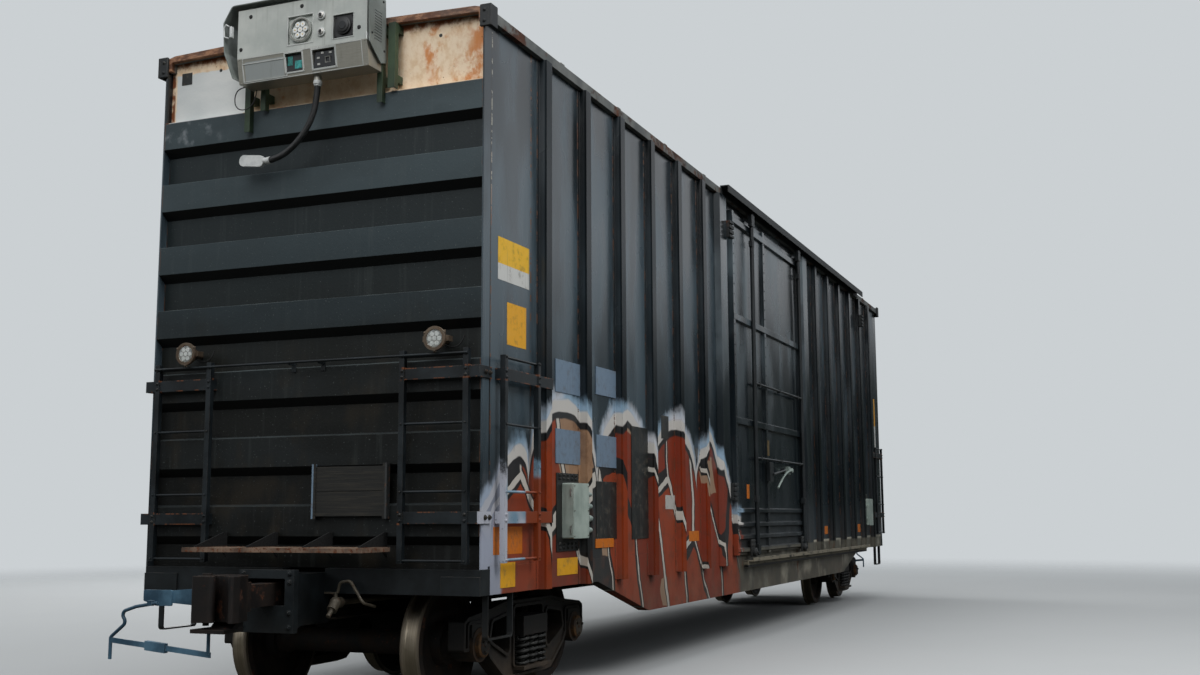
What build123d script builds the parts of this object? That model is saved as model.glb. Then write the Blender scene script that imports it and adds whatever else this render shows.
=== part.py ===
# Railroad boxcar with plug doors on two swivelling trucks.
# X runs along the car, Y across it and Z up. The end with the sensor unit is at -X.
# The origin is midway between the trucks and z is 0 at the flange tips. Sizes are in millimetres.
# Names that end in _level are heights above the rail heads.
import os
from math import cos, pi, radians, sin, tan

from build123d import *

os.makedirs("parts", exist_ok=True)

# Wheels and axles
wheel_radius = 457.0
flange_height = 25.0
flange_thickness = 34.0
wheel_back = 676.0
rim_width = 145.0
rim_depth = 64.0
hub_radius = 150.0
hub_reach = 18.0
plate_thickness = 26.0
axle_radius = 92.0
wheel_seat_radius = 112.0
journal_centre = 1003.5
cup_radius = 126.0
cup_length = 176.0
cap_radius = 92.0
cap_reach = 40.0

# Trucks
wheelbase = 1778.0
truck_from_end = 1600.0
frame_half = 68.0
frame_rim = 24.0
frame_relief = 20.0
frame_crown_level = 748.0
frame_belly_level = 150.0
jaw_half = 138.0
jaw_leg = 85.0
jaw_foot_level = 420.0
jaw_roof_level = 612.0
column_inner = 262.0
column_width = 88.0
window_roof_level = 690.0
spring_seat_level = 235.0
spring_top_level = 470.0
spring_shelf = 28.0
coil_radius = 68.0
coil_wire = 30.0
coil_turns = 6
coil_rows = (-160.0, 0.0, 160.0)
coil_columns = (-75.0, 75.0)
bolster_top_level = 615.0
bolster_half = 225.0
bolster_reach = 1133.0
bowl_rim = 45.0
centre_plate_radius = 203.0
centre_plate_level = 640.0
side_bearing_y = 635.0
side_bearing_height = 50.0
side_bearing_gap = 6.0
shoe_gap = 8.0
shoe_side_gap = 16.0
shoe_thickness = 44.0
shoe_width = 86.0
shoe_half_angle = 21.0
beam_offset = 110.0
beam_depth = 70.0
beam_half = 30.0
strut_reach = 38.0

# Body shell
body_length = 15480.0
body_width = 2914.0
wall_thickness = 50.0
sheet_low_level = 860.0
eave_level = 5100.0
ridge_level = 5182.0
roof_thickness = 30.0
roof_lip = 45.0
eave_slope = 130.0
wall_top_drop = 80.0
floor_level = 1105.0
floor_thickness = 45.0
corner_leg = 12.0
seat_gap = 0.3

# Underframe
sill_depth = 330.0
sill_width = 330.0
sill_web = 12.0
sill_flange = 75.0
stringer_depth = 60.0
stringer_flange = 50.0
stringer_web = 10.0
stringer_places = (-1150.0, -760.0, -380.0, 380.0, 760.0, 1150.0)
beam_places = (-4300.0, -3000.0, -1550.0, 0.0, 1550.0, 3000.0, 4300.0)
beam_web = 10.0
beam_flange = 55.0
body_bolster_half = 110.0
striker_wall = 18.0
striker_reach = 420.0
striker_lip = 50.0
striker_overlap = 60.0
striker_room = 26.0
carrier_depth = 40.0
end_sill_depth = 140.0
end_sill_web = 12.0
end_sill_top_level = 1040.0
corner_plate = (310.0, 130.0)
pad_width = 150.0
pad_level = 852.0
side_sill_web = 12.0
side_sill_flange = 90.0
fish_level = 540.0
fish_start = 5600.0
fish_flat = 4365.0

# Posts on the sides
post_depth = 68.0
post_from_end = 999.0
post_pitch = 812.0
post_base = 190.0
post_face = 104.0
post_foot = 5.0

# Plug doors, their frames and tracks
door_width = 3200.0
door_opening = 3048.0
door_low_level = 960.0
door_top_level = 4930.0
door_sheet = 27.0
door_rib = 34.0
door_stile = 70.0
stile_drop = 4.0
door_stiles = (-1600.0, -260.0, 1530.0)
# height of the lower edge, depth of the beam
door_beams = ((4780.0, 90.0), (3640.0, 90.0), (2440.0, 90.0), (1430.0, 60.0), (1270.0, 60.0), (1130.0, 60.0), (985.0, 60.0))
frame_lip = 6.0
door_post_outer = 2130.0
door_post_inner = 1850.0
threshold_rise = 10.0
header_drop = 60.0
plug_gap = 12.0
pipe_radius = 26.0
pipe_places = (-880.0, 1480.0)
rod_radius = 14.0
rod_levels = (2970.0, 2080.0)
crank_levels = (4620.0, 1560.0)
track_start = -2000.0
lower_track_start = -1243.0
track_end = 5850.0
track_reach = 148.0
track_low_level = 815.0
track_top_level = 925.0
track_plate = 12.0
track_bracket_places = (-1150.0, -500.0, 250.0, 900.0, 1400.0)
# place along the car and height of the middle
bumper_places = ((-1800.0, 4646.0), (-1800.0, 1667.0))
bumper_size = (150.0, 52.0, 190.0)

# Ribbed ends
end_recess = 70.0
end_thickness = 35.0
rib_face = 222.0
rib_pitch = 515.0
rib_top_level = 4581.0
rib_count = 7
rib_lip = 14.0
rib_under = 62.0

# Roof seams
seam_count = 13
seam_width = 70.0
seam_height = 22.0

# Couplers and uncoupling levers
coupler_level = 876.0
coupler_reach = 1100.0
coupler_neck = 310.0
shank_width = 130.0
shank_half_depth = 78.0
head_half_depth = 150.0
head_side = 168.0
lug_depth = 60.0
knuckle_pin = 21.0
shelf_drop = 70.0
lever_from_face = 200.0
lever_rod = 12.0

# Ladders, handholds, steps and platforms
rung_pitch = 483.0
rung_low_level = 1100.0
rung_count = 4
rung_radius = 10.0
ladder_sheet = 8.0
stile_leg = 42.0
stile_flange = 42.0
side_stile_above = 15.0
end_stile_above = 45.0
stile_below = 20.0
side_ladder_near = 200.0
side_ladder_far = 809.0
# side of the car, distance of the outer edge from the car's side, width
end_ladder_places = ((-1, 73.0, 560.0), (1, 81.0, 534.0))
strap_levels = (1400.0, 2425.0)
strap_height = 85.0
strap_reach = 60.0
strap_wrap = 126.0
wrap_sheet = 12.0
handhold_rise = 8.0
handhold_rib = 4
handhold_foot = 30.0
handhold_bracket = 130.0
step_near = 150.0
step_far = 540.0
step_level = 550.0
step_inset = 40.0
step_bar = (12.0, 45.0)
platform_level = 1195.0
platform_depth = 32.0
platform_half = 764.0
platform_in = 60.0
platform_out = 430.0
platform_frame = 6.0
platform_bars = 9
platform_crosses = 12
platform_brackets = (-700.0, -240.0, 240.0, 700.0)

# Air brake and hand brake
train_pipe_radius = 21.0
pipe_y = -330.0
pipe_level = 800.0
cock_radius = 38.0
nipple_length = 60.0
nipple_tilt = 45.0
nipple_radius = 17.5
cock_body = 70.0
cock_length = 60.0
cock_out = 75.0
# x before the end, y, height above the rail
branch_route = ((-75.0, -345.0, 870.0), (-75.0, -365.0, 945.0), (-75.0, -450.0, 955.0), (-75.0, -560.0, 800.0),
                (60.0, -575.0, 770.0))
branch_radius = 11.0
gear_line = 760.0
reservoir_x = 2275.0
reservoir_radius = 215.0
reservoir_length = 1050.0
valve_x = 775.0
valve_size = (380.0, 260.0)
valve_level = 640.0
cylinder_x = -2275.0
cylinder_radius = 150.0
cylinder_length = 460.0
hand_brake_y = -450.0
hand_brake_level = 2250.0
hand_wheel_radius = 270.0
hand_rim_radius = 13.0
hand_wheel_reach = 230.0
hand_gear_width = 260.0
chain_out = 36.0
chain_radius = 12.0

# Sensor unit on the -X end
leg_depth = 50.0
leg_sheet = 6.0
leg_top_level = 5100.0
leg_spacer_levels = (4640.0, 5030.0)
sensor_front = 260.0
sensor_set_back = 38.0
sensor_y = (-615.0, 550.0)
sensor_low_level = 4720.0
sensor_break_level = 4912.0
sensor_top_level = 5300.0
window_depth = 18.0
# y of the middle, height of the middle, width, height
sensor_windows = ((-26.0, 5068.0, 220.0, 220.0), (-408.0, 5042.0, 176.0, 180.0),
                  (36.0, 4826.0, 150.0, 136.0), (-232.0, 4822.0, 196.0, 136.0))
sensor_ports = ((-217.0, 5150.0), (-219.0, 5020.0))
sensor_lamp_radius = 98.0
port_radius = 30.0
cowl_sheet = 8.0
cowl_reach = 30.0
cowl_rise = 40.0
side_plate_gap = 18.0
side_plate_rises = (170.0, 50.0, 75.0)
side_pin_levels = (4960.0, 5180.0)
# y of the middle, lowest level, width
sensor_legs = ((600.0, 4400.0, 50.0), (455.0, 4555.0, 45.0), (-600.0, 4490.0, 45.0), (-700.0, 4590.0, 60.0))
hose_radius = 24.0
gland_length = 60.0
# x before the end, y, height above the rail
hose_route = ((-160.0, -126.0, 4672.0), (-160.0, -124.0, 4590.0), (-158.0, -95.0, 4430.0), (-152.0, -10.0, 4290.0),
              (-142.0, 112.0, 4185.0), (-135.0, 232.0, 4130.0), (-130.0, 310.0, 4122.0))
swivel_radius = 22.0
paddle_size = (30.0, 225.0, 88.0)

# Fittings
lamp_level = 2665.0
lamp_radius = 88.0
lamp_depth = 80.0
lamp_out = 110.0
lamp_places = (-1131.0, 1060.0)
board_y = (-718.0, -80.0)
board_levels = (1415.0, 1775.0)
board_thickness = 38.0
box_from_end = 1373.0
box_width = 320.0
box_levels = (1231.0, 1669.0)
box_depth = 108.0
box_margin = 100.0
box_plate = 6.0

rail = flange_height
half_length = body_length / 2
half_width = body_width / 2
truck_x = half_length - truck_from_end
half_base = wheelbase / 2
axle_height = rail + wheel_radius
frame_y = journal_centre
pulling_face = half_length + coupler_reach
coupler_height = rail + coupler_level
sheet_bottom = rail + sheet_low_level
eave_height = rail + eave_level
ridge_height = rail + ridge_level
floor_top = rail + floor_level
wall_bottom = floor_top - floor_thickness
wall_top = eave_height - wall_top_drop
sill_top = wall_bottom - stringer_depth
sill_low = sill_top - sill_depth
roof_eave = half_width + roof_lip
bolster_top = rail + bolster_top_level
centre_plate_height = rail + centre_plate_level
spring_seat = rail + spring_seat_level
spring_top = rail + spring_top_level
end_sill_top = rail + end_sill_top_level
beam_root = sill_width / 2 + seat_gap
beam_reach = half_width - side_sill_web - 8
door_bottom = rail + door_low_level
door_top = rail + door_top_level
door_back = -half_width - frame_lip - seat_gap
door_face = door_back - door_sheet
stile_face = door_face - door_rib + stile_drop
gear_y = door_face - door_rib - pipe_radius - seat_gap
track_low = rail + track_low_level
track_top = rail + track_top_level
upper_track_low = eave_height - 60
pipe_height = rail + pipe_level
pipe_hole = train_pipe_radius + seat_gap
rung_low = rail + rung_low_level
rung_high = rung_low + (rung_count - 1) * rung_pitch
sensor_back = leg_depth + 2 * seat_gap


def block(x0, x1, y0, y1, z0, z1):
    """A box between two opposite corners, given in either order."""
    centre = Pos((x0 + x1) / 2, (y0 + y1) / 2, (z0 + z1) / 2)
    return centre * Box(abs(x1 - x0), abs(y1 - y0), abs(z1 - z0))


def slab(points, reach, soften=0.0):
    """A flat outline of 3-D corner points, pushed out by the vector reach, with its corners rounded."""
    push = Vector(*reach)
    face = make_face(Polyline(*[Vector(*p) for p in points], close=True))
    if soften:
        face = fillet(face.vertices(), soften)
    return extrude(face, amount=push.length, dir=push.normalized())


def along_x(points, x0, x1, soften=0.0):
    """An outline of (y, z) corners, from x0 to x1."""
    return slab([(x0, y, z) for y, z in points], (x1 - x0, 0, 0), soften)


def along_y(points, y0, y1, soften=0.0):
    """An outline of (x, z) corners, from y0 to y1."""
    return slab([(x, y0, z) for x, z in points], (0, y1 - y0, 0), soften)


def along_z(points, z0, z1, soften=0.0):
    """An outline of (x, y) corners, from z0 to z1."""
    return slab([(x, y, z0) for x, y in points], (0, 0, z1 - z0), soften)


def bar(start, end, radius):
    a, b = Vector(*start), Vector(*end)
    plane = Plane(origin=a, z_dir=(b - a).normalized())
    return extrude(plane * Circle(radius), amount=(b - a).length)


def bent_rod(points, radius, bend):
    """A round rod along the points, with each corner bent at one radius."""
    path = FilletPolyline(*[Vector(*p) for p in points], radius=bend)
    start = Plane(origin=path @ 0, z_dir=path % 0)
    return sweep(start * Circle(radius), path=path)


def to_end(shape, end):
    """A shape made for the -X end, as it is or turned round to the +X end."""
    return shape if end < 0 else Rot(0, 0, 180) * shape


def to_side(shape, side):
    """A shape made for the -Y side, as it is or mirrored to the +Y side."""
    return shape if side < 0 else mirror(shape, about=Plane.XZ)


def turn_side(shape, side):
    """A shape made for the -Y side, as it is or turned round to the +Y side."""
    return shape if side < 0 else Rot(0, 0, 180) * shape


def save(name, *shapes):
    solids = [solid for shape in shapes for solid in shape.solids()]
    node = Compound(children=solids)
    node.label = name
    export_step(node, f"parts/{name}.step")


# Centre sill: an inverted channel with bottom flanges, running through to both strikers
def centre_sill():
    inner = sill_width / 2 - sill_web
    outer = sill_width / 2
    reach = half_length - striker_overlap
    outline = [
        (-outer - sill_flange, sill_low), (-outer - sill_flange, sill_low + sill_web), (-outer, sill_low + sill_web),
        (-outer, sill_top), (outer, sill_top), (outer, sill_low + sill_web),
        (outer + sill_flange, sill_low + sill_web), (outer + sill_flange, sill_low), (inner, sill_low),
        (inner, sill_top - sill_web), (-inner, sill_top - sill_web), (-inner, sill_low),
    ]
    return along_x(outline, -reach, reach)


# Striker and draft gear housing at the -X end, open in front for the coupler's shank
def striker():
    wide = sill_width / 2 + striker_wall
    front = half_length + striker_reach
    back = half_length - striker_overlap
    low, high = sill_low - 20, sill_top + 10
    inner = wide - striker_room
    shell = block(-front, -back, -wide, wide, low, high)
    shell -= block(-front - 1, -back + 1, -inner, inner, sill_low + 5, sill_top - 16)
    rim = block(-front - 30, -front + 25, -wide - striker_lip, wide + striker_lip, low - carrier_depth, high + 35)
    rim -= block(-front - 31, -front + 26, -inner, inner, coupler_height - shank_half_depth - seat_gap, sill_top - 16)
    gussets = [along_y([(-front + 25, z), (-front + 145, z), (-front + 25, z + rise)], y, y + 12)
               for y in (-wide, wide - 12) for z, rise in ((high, 35), (low, -carrier_depth))]
    return shell + rim + gussets


# Coupler at the -X end. Places are given as the distance back from the pulling face and y.
def coupler_head():
    def at(back, y):
        return Vector(-pulling_face + back, y, 0)

    hub = at(140, 100)
    outline = make_face([
        Polyline(at(coupler_neck, -66), at(250, -150), at(70, -222), at(12, -222)),
        ThreePointArc(at(12, -222), at(-10, -208), at(2, -186)),
        ThreePointArc(at(2, -186), at(84, -112), at(125, -10)),
        Polyline(at(125, -10), at(150, 42), at(190, head_side), at(236, head_side), at(coupler_neck, 66),
                 at(coupler_neck, -66)),
    ])
    core = Pos(0, 0, coupler_height - head_half_depth) * extrude(outline, amount=2 * head_half_depth)
    pocket = head_half_depth - lug_depth
    core -= Pos(hub.X, hub.Y, coupler_height) * Cylinder(66, 2 * pocket)
    for z in (coupler_height + pocket, coupler_height - head_half_depth):
        lug = make_hull([*(Pos(hub.X, hub.Y) * Circle(62)).edges(), *(Pos(hub.X + 70, hub.Y) * Circle(50)).edges()])
        core += Pos(0, 0, z) * extrude(lug, amount=lug_depth)
    pin_top = coupler_height + head_half_depth
    core += bar((hub.X, hub.Y, coupler_height - head_half_depth - 30), (hub.X, hub.Y, pin_top + 14), knuckle_pin)
    core += bar((hub.X, hub.Y, pin_top), (hub.X, hub.Y, pin_top + 14), knuckle_pin + 13)
    shelf = along_z([(-pulling_face + 8, -150), (-pulling_face + 8, 120), (-pulling_face + 250, 120),
                     (-pulling_face + 250, -120)], coupler_height - head_half_depth - shelf_drop,
                    coupler_height - head_half_depth - shelf_drop + 26)
    web = along_y([(-pulling_face + 250, coupler_height - head_half_depth + 5),
                   (-pulling_face + 250, coupler_height - head_half_depth - shelf_drop + 5),
                   (-pulling_face + 110, coupler_height - head_half_depth - shelf_drop + 5),
                   (-pulling_face + 190, coupler_height - head_half_depth + 5)], -120, 60)
    back = half_length - striker_overlap + 40
    shank = block(-pulling_face + coupler_neck - 20, -back, -shank_width / 2, shank_width / 2,
                  coupler_height - shank_half_depth, coupler_height + shank_half_depth)
    collar = block(-pulling_face + coupler_neck - 5, -pulling_face + coupler_neck + 60, -shank_width / 2 - 22,
                   shank_width / 2 + 22, coupler_height - shank_half_depth - 20, coupler_height + shank_half_depth + 20)
    return core + shelf + web + shank + collar


def knuckle():
    def disc(back, y, radius):
        return (Pos(-pulling_face + back, y) * Circle(radius)).edges()

    pocket = head_half_depth - lug_depth - seat_gap
    arm = make_hull([*disc(140, 100, 60), *disc(42, 84, 42)])
    nose = make_hull([*disc(30, 82, 40), *disc(26, -18, 34)])
    shape = Pos(0, 0, coupler_height - pocket) * extrude(arm, amount=2 * pocket)
    shape += Pos(0, 0, coupler_height - head_half_depth) * extrude(nose, amount=2 * head_half_depth)
    return shape - bar((-pulling_face + 140, 100, 0), (-pulling_face + 140, 100, 2 * coupler_height),
                       knuckle_pin + seat_gap)


# Uncoupling gear at the -X end: an arm from the coupler's head, its bracket, a hooked rod and a telescoping bar
def uncoupling_lever():
    x = -pulling_face + lever_from_face
    z = coupler_height
    near = head_side + seat_gap
    arm = along_x([(near, z - 60), (near, z + 62), (470, z + 40), (470, z - 40)], x, x + 14)
    bracket = along_x([(430, z - 62), (430, z + 45), (670, z + 45), (670, z - 30), (560, z - 62)], x - 14, x, 10)
    rod = bent_rod([(x - 26, 930, z - 430), (x - 26, 930, z - 280), (x - 26, 800, z - 180), (x - 26, 850, z - 110),
                    (x - 26, 720, z - 70), (x - 26, 540, z - 42)], lever_rod, 32)
    clamp = block(x - 40, x - 14, 575, 615, z - 62, z - 26)
    flat = along_x([(940, z - 316), (940, z - 280), (80, z - 358), (80, z - 394)], x - 32, x - 20)
    sleeve = along_x([(620, z - 358), (620, z - 296), (450, z - 312), (450, z - 374)], x - 44, x - 8)
    hanger = bar((x - 26, 100, z - 372), (x - 26, 100, z - head_half_depth - shelf_drop - seat_gap), lever_rod)
    return [arm + bracket + rod + clamp + flat + sleeve + hanger]


# Body bolster over one truck: two arms from the centre sill, with side bearings, jacking pads and centre plate
def body_bolster(x):
    low_out = sill_top - 90
    arms = []
    for side in (-1, 1):
        outline = [(side * beam_root, sill_top), (side * beam_reach, sill_top), (side * beam_reach, low_out),
                   (side * (sill_width / 2 + sill_flange + 6), sill_low + sill_web + 6),
                   (side * beam_root, sill_low + sill_web + 6)]
        arm = along_x(outline, x - body_bolster_half, x + body_bolster_half)
        wear_low = bolster_top + side_bearing_height + side_bearing_gap
        arm += block(x - 70, x + 70, side * (side_bearing_y - 60), side * (side_bearing_y + 60), wear_low, low_out + 20)
        pad_out = half_width - side_sill_web - side_sill_flange - seat_gap
        arm += block(x - body_bolster_half, x + body_bolster_half, side * (pad_out - pad_width), side * pad_out,
                     rail + pad_level, low_out + 20)
        arms.append(arm - bar((x - body_bolster_half - 1, pipe_y, pipe_height),
                              (x + body_bolster_half + 1, pipe_y, pipe_height), pipe_hole))
    plate = Pos(x, 0, centre_plate_height) * extrude(Circle(centre_plate_radius), amount=sill_low - centre_plate_height)
    return arms + [plate]


# Floor beam on one side of the centre sill: a web with a top and a bottom flange
def floor_beam(x, side):
    outer_low = sill_top - beam_web - 80
    root_low = sill_low + sill_web + 6
    knee = beam_root + 120
    outline = [(side * beam_root, sill_top), (side * beam_reach, sill_top), (side * beam_reach, outer_low),
               (side * knee, root_low), (side * beam_root, root_low)]
    web = along_x(outline, x - beam_web / 2, x + beam_web / 2)
    top = block(x - beam_flange, x + beam_flange, side * beam_root, side * beam_reach, sill_top - beam_web, sill_top)
    low = along_x([(side * beam_reach, outer_low), (side * beam_reach, outer_low + beam_web),
                   (side * knee, root_low + beam_web), (side * beam_root, root_low + beam_web),
                   (side * beam_root, root_low), (side * knee, root_low)], x - beam_flange, x + beam_flange)
    hole = bar((x - beam_flange - 1, pipe_y, pipe_height), (x + beam_flange + 1, pipe_y, pipe_height), pipe_hole)
    return web + top + low - hole


# Stringers lie on the beams and carry the floor
def stringer(y):
    low, high = sill_top, wall_bottom
    half = stringer_web / 2
    outline = [(y - half, low), (y + stringer_flange, low), (y + stringer_flange, low + 8), (y + half, low + 8),
               (y + half, high), (y - stringer_flange, high), (y - stringer_flange, high - 8), (y - half, high - 8)]
    reach = half_length - end_sill_depth - seat_gap
    return along_x(outline, -reach, reach)


def floor_deck():
    inner = half_width - wall_thickness
    reach = half_length - end_recess - end_thickness
    return block(-reach, reach, -inner, inner, wall_bottom, floor_top)


# Fishbelly side sill: a web with its bottom flange, made for the -Y side
def side_sill():
    reach = half_length - end_sill_depth - seat_gap
    inner = -half_width + side_sill_web
    t = side_sill_web
    outline = [(-reach, wall_bottom), (-reach, sheet_bottom), (-fish_start, sheet_bottom), (-fish_flat, rail + fish_level),
               (fish_flat, rail + fish_level), (fish_start, sheet_bottom), (reach, sheet_bottom), (reach, wall_bottom)]
    low = outline[1:-1]
    raised = [(x, z + t) for x, z in reversed(low)]
    web = along_y(outline, inner - t, inner)
    flange = along_y(low + raised, inner - t, inner + side_sill_flange)
    return web + flange


# A side wall from the door frame to the corner, with its posts and the corner angle, made for -Y and -X
def side_wall():
    x1 = -door_post_outer
    y0 = -half_width
    inside = -half_length + end_recess + end_thickness + seat_gap
    wall = block(inside, x1, y0, y0 + wall_thickness, wall_bottom, wall_top)
    wall += block(-half_length, inside + 1, y0, y0 + corner_leg, end_sill_top + seat_gap, wall_top)
    room = half_length - door_post_outer - post_from_end - post_base / 2
    base, face, foot = post_base / 2, post_face / 2, y0 - post_foot
    for i in range(int(room // post_pitch) + 1):
        x = -half_length + post_from_end + i * post_pitch
        wall += along_z([(x - base, y0), (x - base, foot), (x - face - 8, foot), (x - face, y0 - post_depth),
                         (x + face, y0 - post_depth), (x + face + 8, foot), (x + base, foot), (x + base, y0)],
                        sheet_bottom, wall_top)
    return wall


# Door frame: two door posts, the header and the threshold, made for the -Y side
def door_frame():
    y0 = -half_width
    back = y0 + wall_thickness
    face = y0 - frame_lip
    frame = block(-door_post_outer, door_post_outer, face, back, wall_bottom, wall_top)
    frame -= block(-door_opening / 2, door_opening / 2, face - 1, back + 1, floor_top + threshold_rise,
                   door_top - header_drop)
    for s in (-1, 1):
        outline = [(s * door_post_outer, y0), (s * door_post_outer, face),
                   (s * (door_post_outer - 30), y0 - post_depth), (s * door_post_inner, y0 - post_depth),
                   (s * (door_post_inner - 20), face), (s * (door_post_inner - 90), face), (s * (door_post_inner - 90), y0)]
        frame += along_z(outline, sheet_bottom, wall_top)
    return frame


# Plug door panel with its stiles and beams, made for the -Y side
def plug_door():
    half = door_width / 2
    panel = block(-half, half, door_face, door_back, door_bottom, door_top)
    plug = door_opening / 2 - plug_gap
    panel += block(-plug, plug, door_back, -half_width + wall_thickness, floor_top + threshold_rise + plug_gap,
                   door_top - header_drop - plug_gap)
    for level, depth in door_beams:
        z = rail + level
        panel += along_x([(door_face, z), (door_face - door_rib, z + 10), (door_face - door_rib, z + depth - 10),
                          (door_face, z + depth)], -half, half)
    for x in door_stiles:
        panel += block(x, x + door_stile, stile_face, door_face, door_bottom, door_top)
    return panel


# Operating gear of one door, made for the -Y side: two pipes with cranks and rods, the lock and its lever
def door_gear():
    out = door_face - door_rib - seat_gap
    parts = []
    for x in pipe_places:
        pipe = bar((x, gear_y, track_top + 20), (x, gear_y, upper_track_low - 20), pipe_radius)
        pipe += block(x - 55, x + 55, gear_y - 24, gear_y + 24, track_top + 30, track_top + 150)
        pipe += block(x - 60, x + 60, gear_y - 24, gear_y + 24, upper_track_low - 170, upper_track_low - 30)
        for level in crank_levels:
            pipe += block(x - 45, x + 45, gear_y - 20, out, rail + level, rail + level + 70)
        parts.append(pipe)
    x0, x1 = (x + s * (pipe_radius + seat_gap) for x, s in zip(pipe_places, (1, -1)))
    for level in rod_levels:
        rod = bar((x0, gear_y, rail + level), (x1, gear_y, rail + level), rod_radius)
        for x in (x0 + 200, (x0 + x1) / 2, x1 - 200):
            rod += block(x - 18, x + 18, gear_y - 16, out, rail + level - 24, rail + level + 24)
        parts.append(rod)
    lock = rod_levels[1] - 175
    stile = door_stiles[1] + door_stile / 2
    on_stile = stile_face - seat_gap
    case = block(stile - 70, stile + 90, gear_y - 14, on_stile, rail + lock - 90, rail + lock + 145)
    lever = bar((stile + 60, gear_y - 20, rail + lock), (stile + 620, gear_y - 20, rail + lock + 60), 16)
    foot = block(stile + 590, stile + 640, gear_y - 20, on_stile, rail + lock + 20, rail + lock + 90)
    parts.append(case + lever + foot)
    return parts


# Door tracks with the bumpers that stop the door, made for the -Y side
def door_tracks():
    y0 = -half_width
    inner = y0 - post_depth - seat_gap
    outer = y0 - track_reach
    t = track_plate
    lower = along_x([(inner, track_low), (inner, track_top - 30), (outer + t, track_top - 30), (outer + t, track_top),
                     (outer, track_top), (outer, track_top - 42), (inner - t, track_top - 42), (inner - t, track_low)],
                    lower_track_start, track_end)
    for x in track_bracket_places:
        lower += block(x - 6, x + 6, inner, y0 - seat_gap, track_low, track_top - 30)
    edge = -roof_eave - seat_gap
    top = eave_height + 24
    upper = along_x([(edge, top), (outer, top), (outer, upper_track_low), (outer + t, upper_track_low),
                     (outer + t, top - t), (edge - t, top - t), (edge - t, wall_top + 10), (edge, wall_top + 10)],
                    track_start, track_end)
    parts = [lower, upper]
    wide, deep, tall = bumper_size
    far = -post_last_x()
    for x, level in (*bumper_places, (far, bumper_places[0][1])):
        front = y0 - post_depth - seat_gap
        bumper = block(x - wide / 2, x + wide / 2, front - deep, front, rail + level - tall / 2, rail + level + tall / 2)
        for k in (-1, 0, 1):
            z = rail + level + k * tall * 0.3
            bumper -= block(x - wide, x + wide, front - deep - 1, front - deep * 0.6, z - 10, z + 10)
        parts.append(bumper)
    return parts


def post_last_x():
    """The second post from the corner, where the far bumper sits."""
    return -half_length + post_from_end + post_pitch


# End wall with seven pressed ribs between the corner angles, made for the -X end
def end_wall():
    face = -half_length
    panel = face + end_recess
    back = panel + end_thickness
    first = rail + rib_top_level
    outline = [(back, end_sill_top), (back, wall_top), (panel, wall_top)]
    for i in range(rib_count):
        top = first - i * rib_pitch
        outline += [(panel, top + rib_lip), (face, top), (face, top - rib_face), (panel, top - rib_face - rib_under)]
    outline += [(panel, end_sill_top)]
    wide = half_width - corner_leg - seat_gap
    wall = along_y(outline, -wide, wide)
    gable = half_width - wall_thickness - seat_gap
    high = eave_height - 8 - seat_gap
    wall += along_x([(-gable, wall_top - 1), (-gable, high),
                     (0, ridge_height - seam_height - roof_thickness - seat_gap), (gable, high), (gable, wall_top - 1)],
                    panel, back)
    return wall


# End sill: two channels, one each side of the striker, with corner plates, made for the -X end
def end_sill():
    face = -half_length
    root = sill_width / 2 + striker_wall + seat_gap
    back = face + end_sill_depth
    t = end_sill_web
    parts = []
    for side in (-1, 1):
        sill = block(face, back, side * root, side * half_width, sheet_bottom, end_sill_top)
        sill -= block(face + t, back + 1, side * (root - 1), side * (half_width - t), sheet_bottom + t, end_sill_top - t)
        sill += block(face - t, face, side * (half_width - corner_plate[0]), side * half_width, sheet_bottom,
                      sheet_bottom + corner_plate[1])
        parts.append(sill)
    return parts


# Roof: a low-pitched shell from eave to eave with seam caps
def roof():
    inner = half_width - wall_thickness
    knee = roof_eave - eave_slope
    low_ridge = ridge_height - seam_height
    outline = [(-roof_eave, eave_height), (-knee, eave_height + 26), (0, low_ridge), (knee, eave_height + 26),
               (roof_eave, eave_height), (roof_eave, wall_top), (inner, wall_top), (inner, eave_height - 8),
               (0, low_ridge - roof_thickness), (-inner, eave_height - 8), (-inner, wall_top), (-roof_eave, wall_top)]
    shell = along_x(outline, -half_length, half_length)
    step = (body_length - seam_width) / (seam_count - 1)
    upper = [(-roof_eave, eave_height + 10), (-knee, eave_height + 42), (0, ridge_height), (knee, eave_height + 42),
             (roof_eave, eave_height + 10)]
    lower = [(y, z - seam_height + 4) for y, z in reversed(upper)]
    for i in range(seam_count):
        x = -half_length + i * step
        shell += along_x(upper + lower, x, x + seam_width)
    return shell


# Ladder of four rungs between two angles beside the corner, on straps to the first post, for -X and -Y
def side_ladder():
    back = -half_width - post_depth - seat_gap
    strap = back - ladder_sheet
    front = strap - ladder_sheet
    near, far = -half_length + side_ladder_near, -half_length + side_ladder_far - stile_flange
    post = -half_length + post_from_end + post_face / 2
    shape = None
    for level in strap_levels:
        z0, z1 = rail + level - strap_height / 2, rail + level + strap_height / 2
        band = block(near, post, strap, back, z0, z1)
        band += block(near, near + ladder_sheet, strap, -half_width - seat_gap, z0, z1)
        shape = band if shape is None else shape + band
    low, high = rung_low - stile_below, rung_high + side_stile_above
    for x in (near, far):
        shape += block(x, x + ladder_sheet, front, front + stile_leg, low, high)
        shape += block(x, x + stile_flange, front, strap, low, high)
    y = front + stile_leg / 2
    for i in range(rung_count):
        z = rung_low + i * rung_pitch
        shape += bar((near + ladder_sheet / 2, y, z), (far + ladder_sheet / 2, y, z), rung_radius)
    return shape


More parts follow.
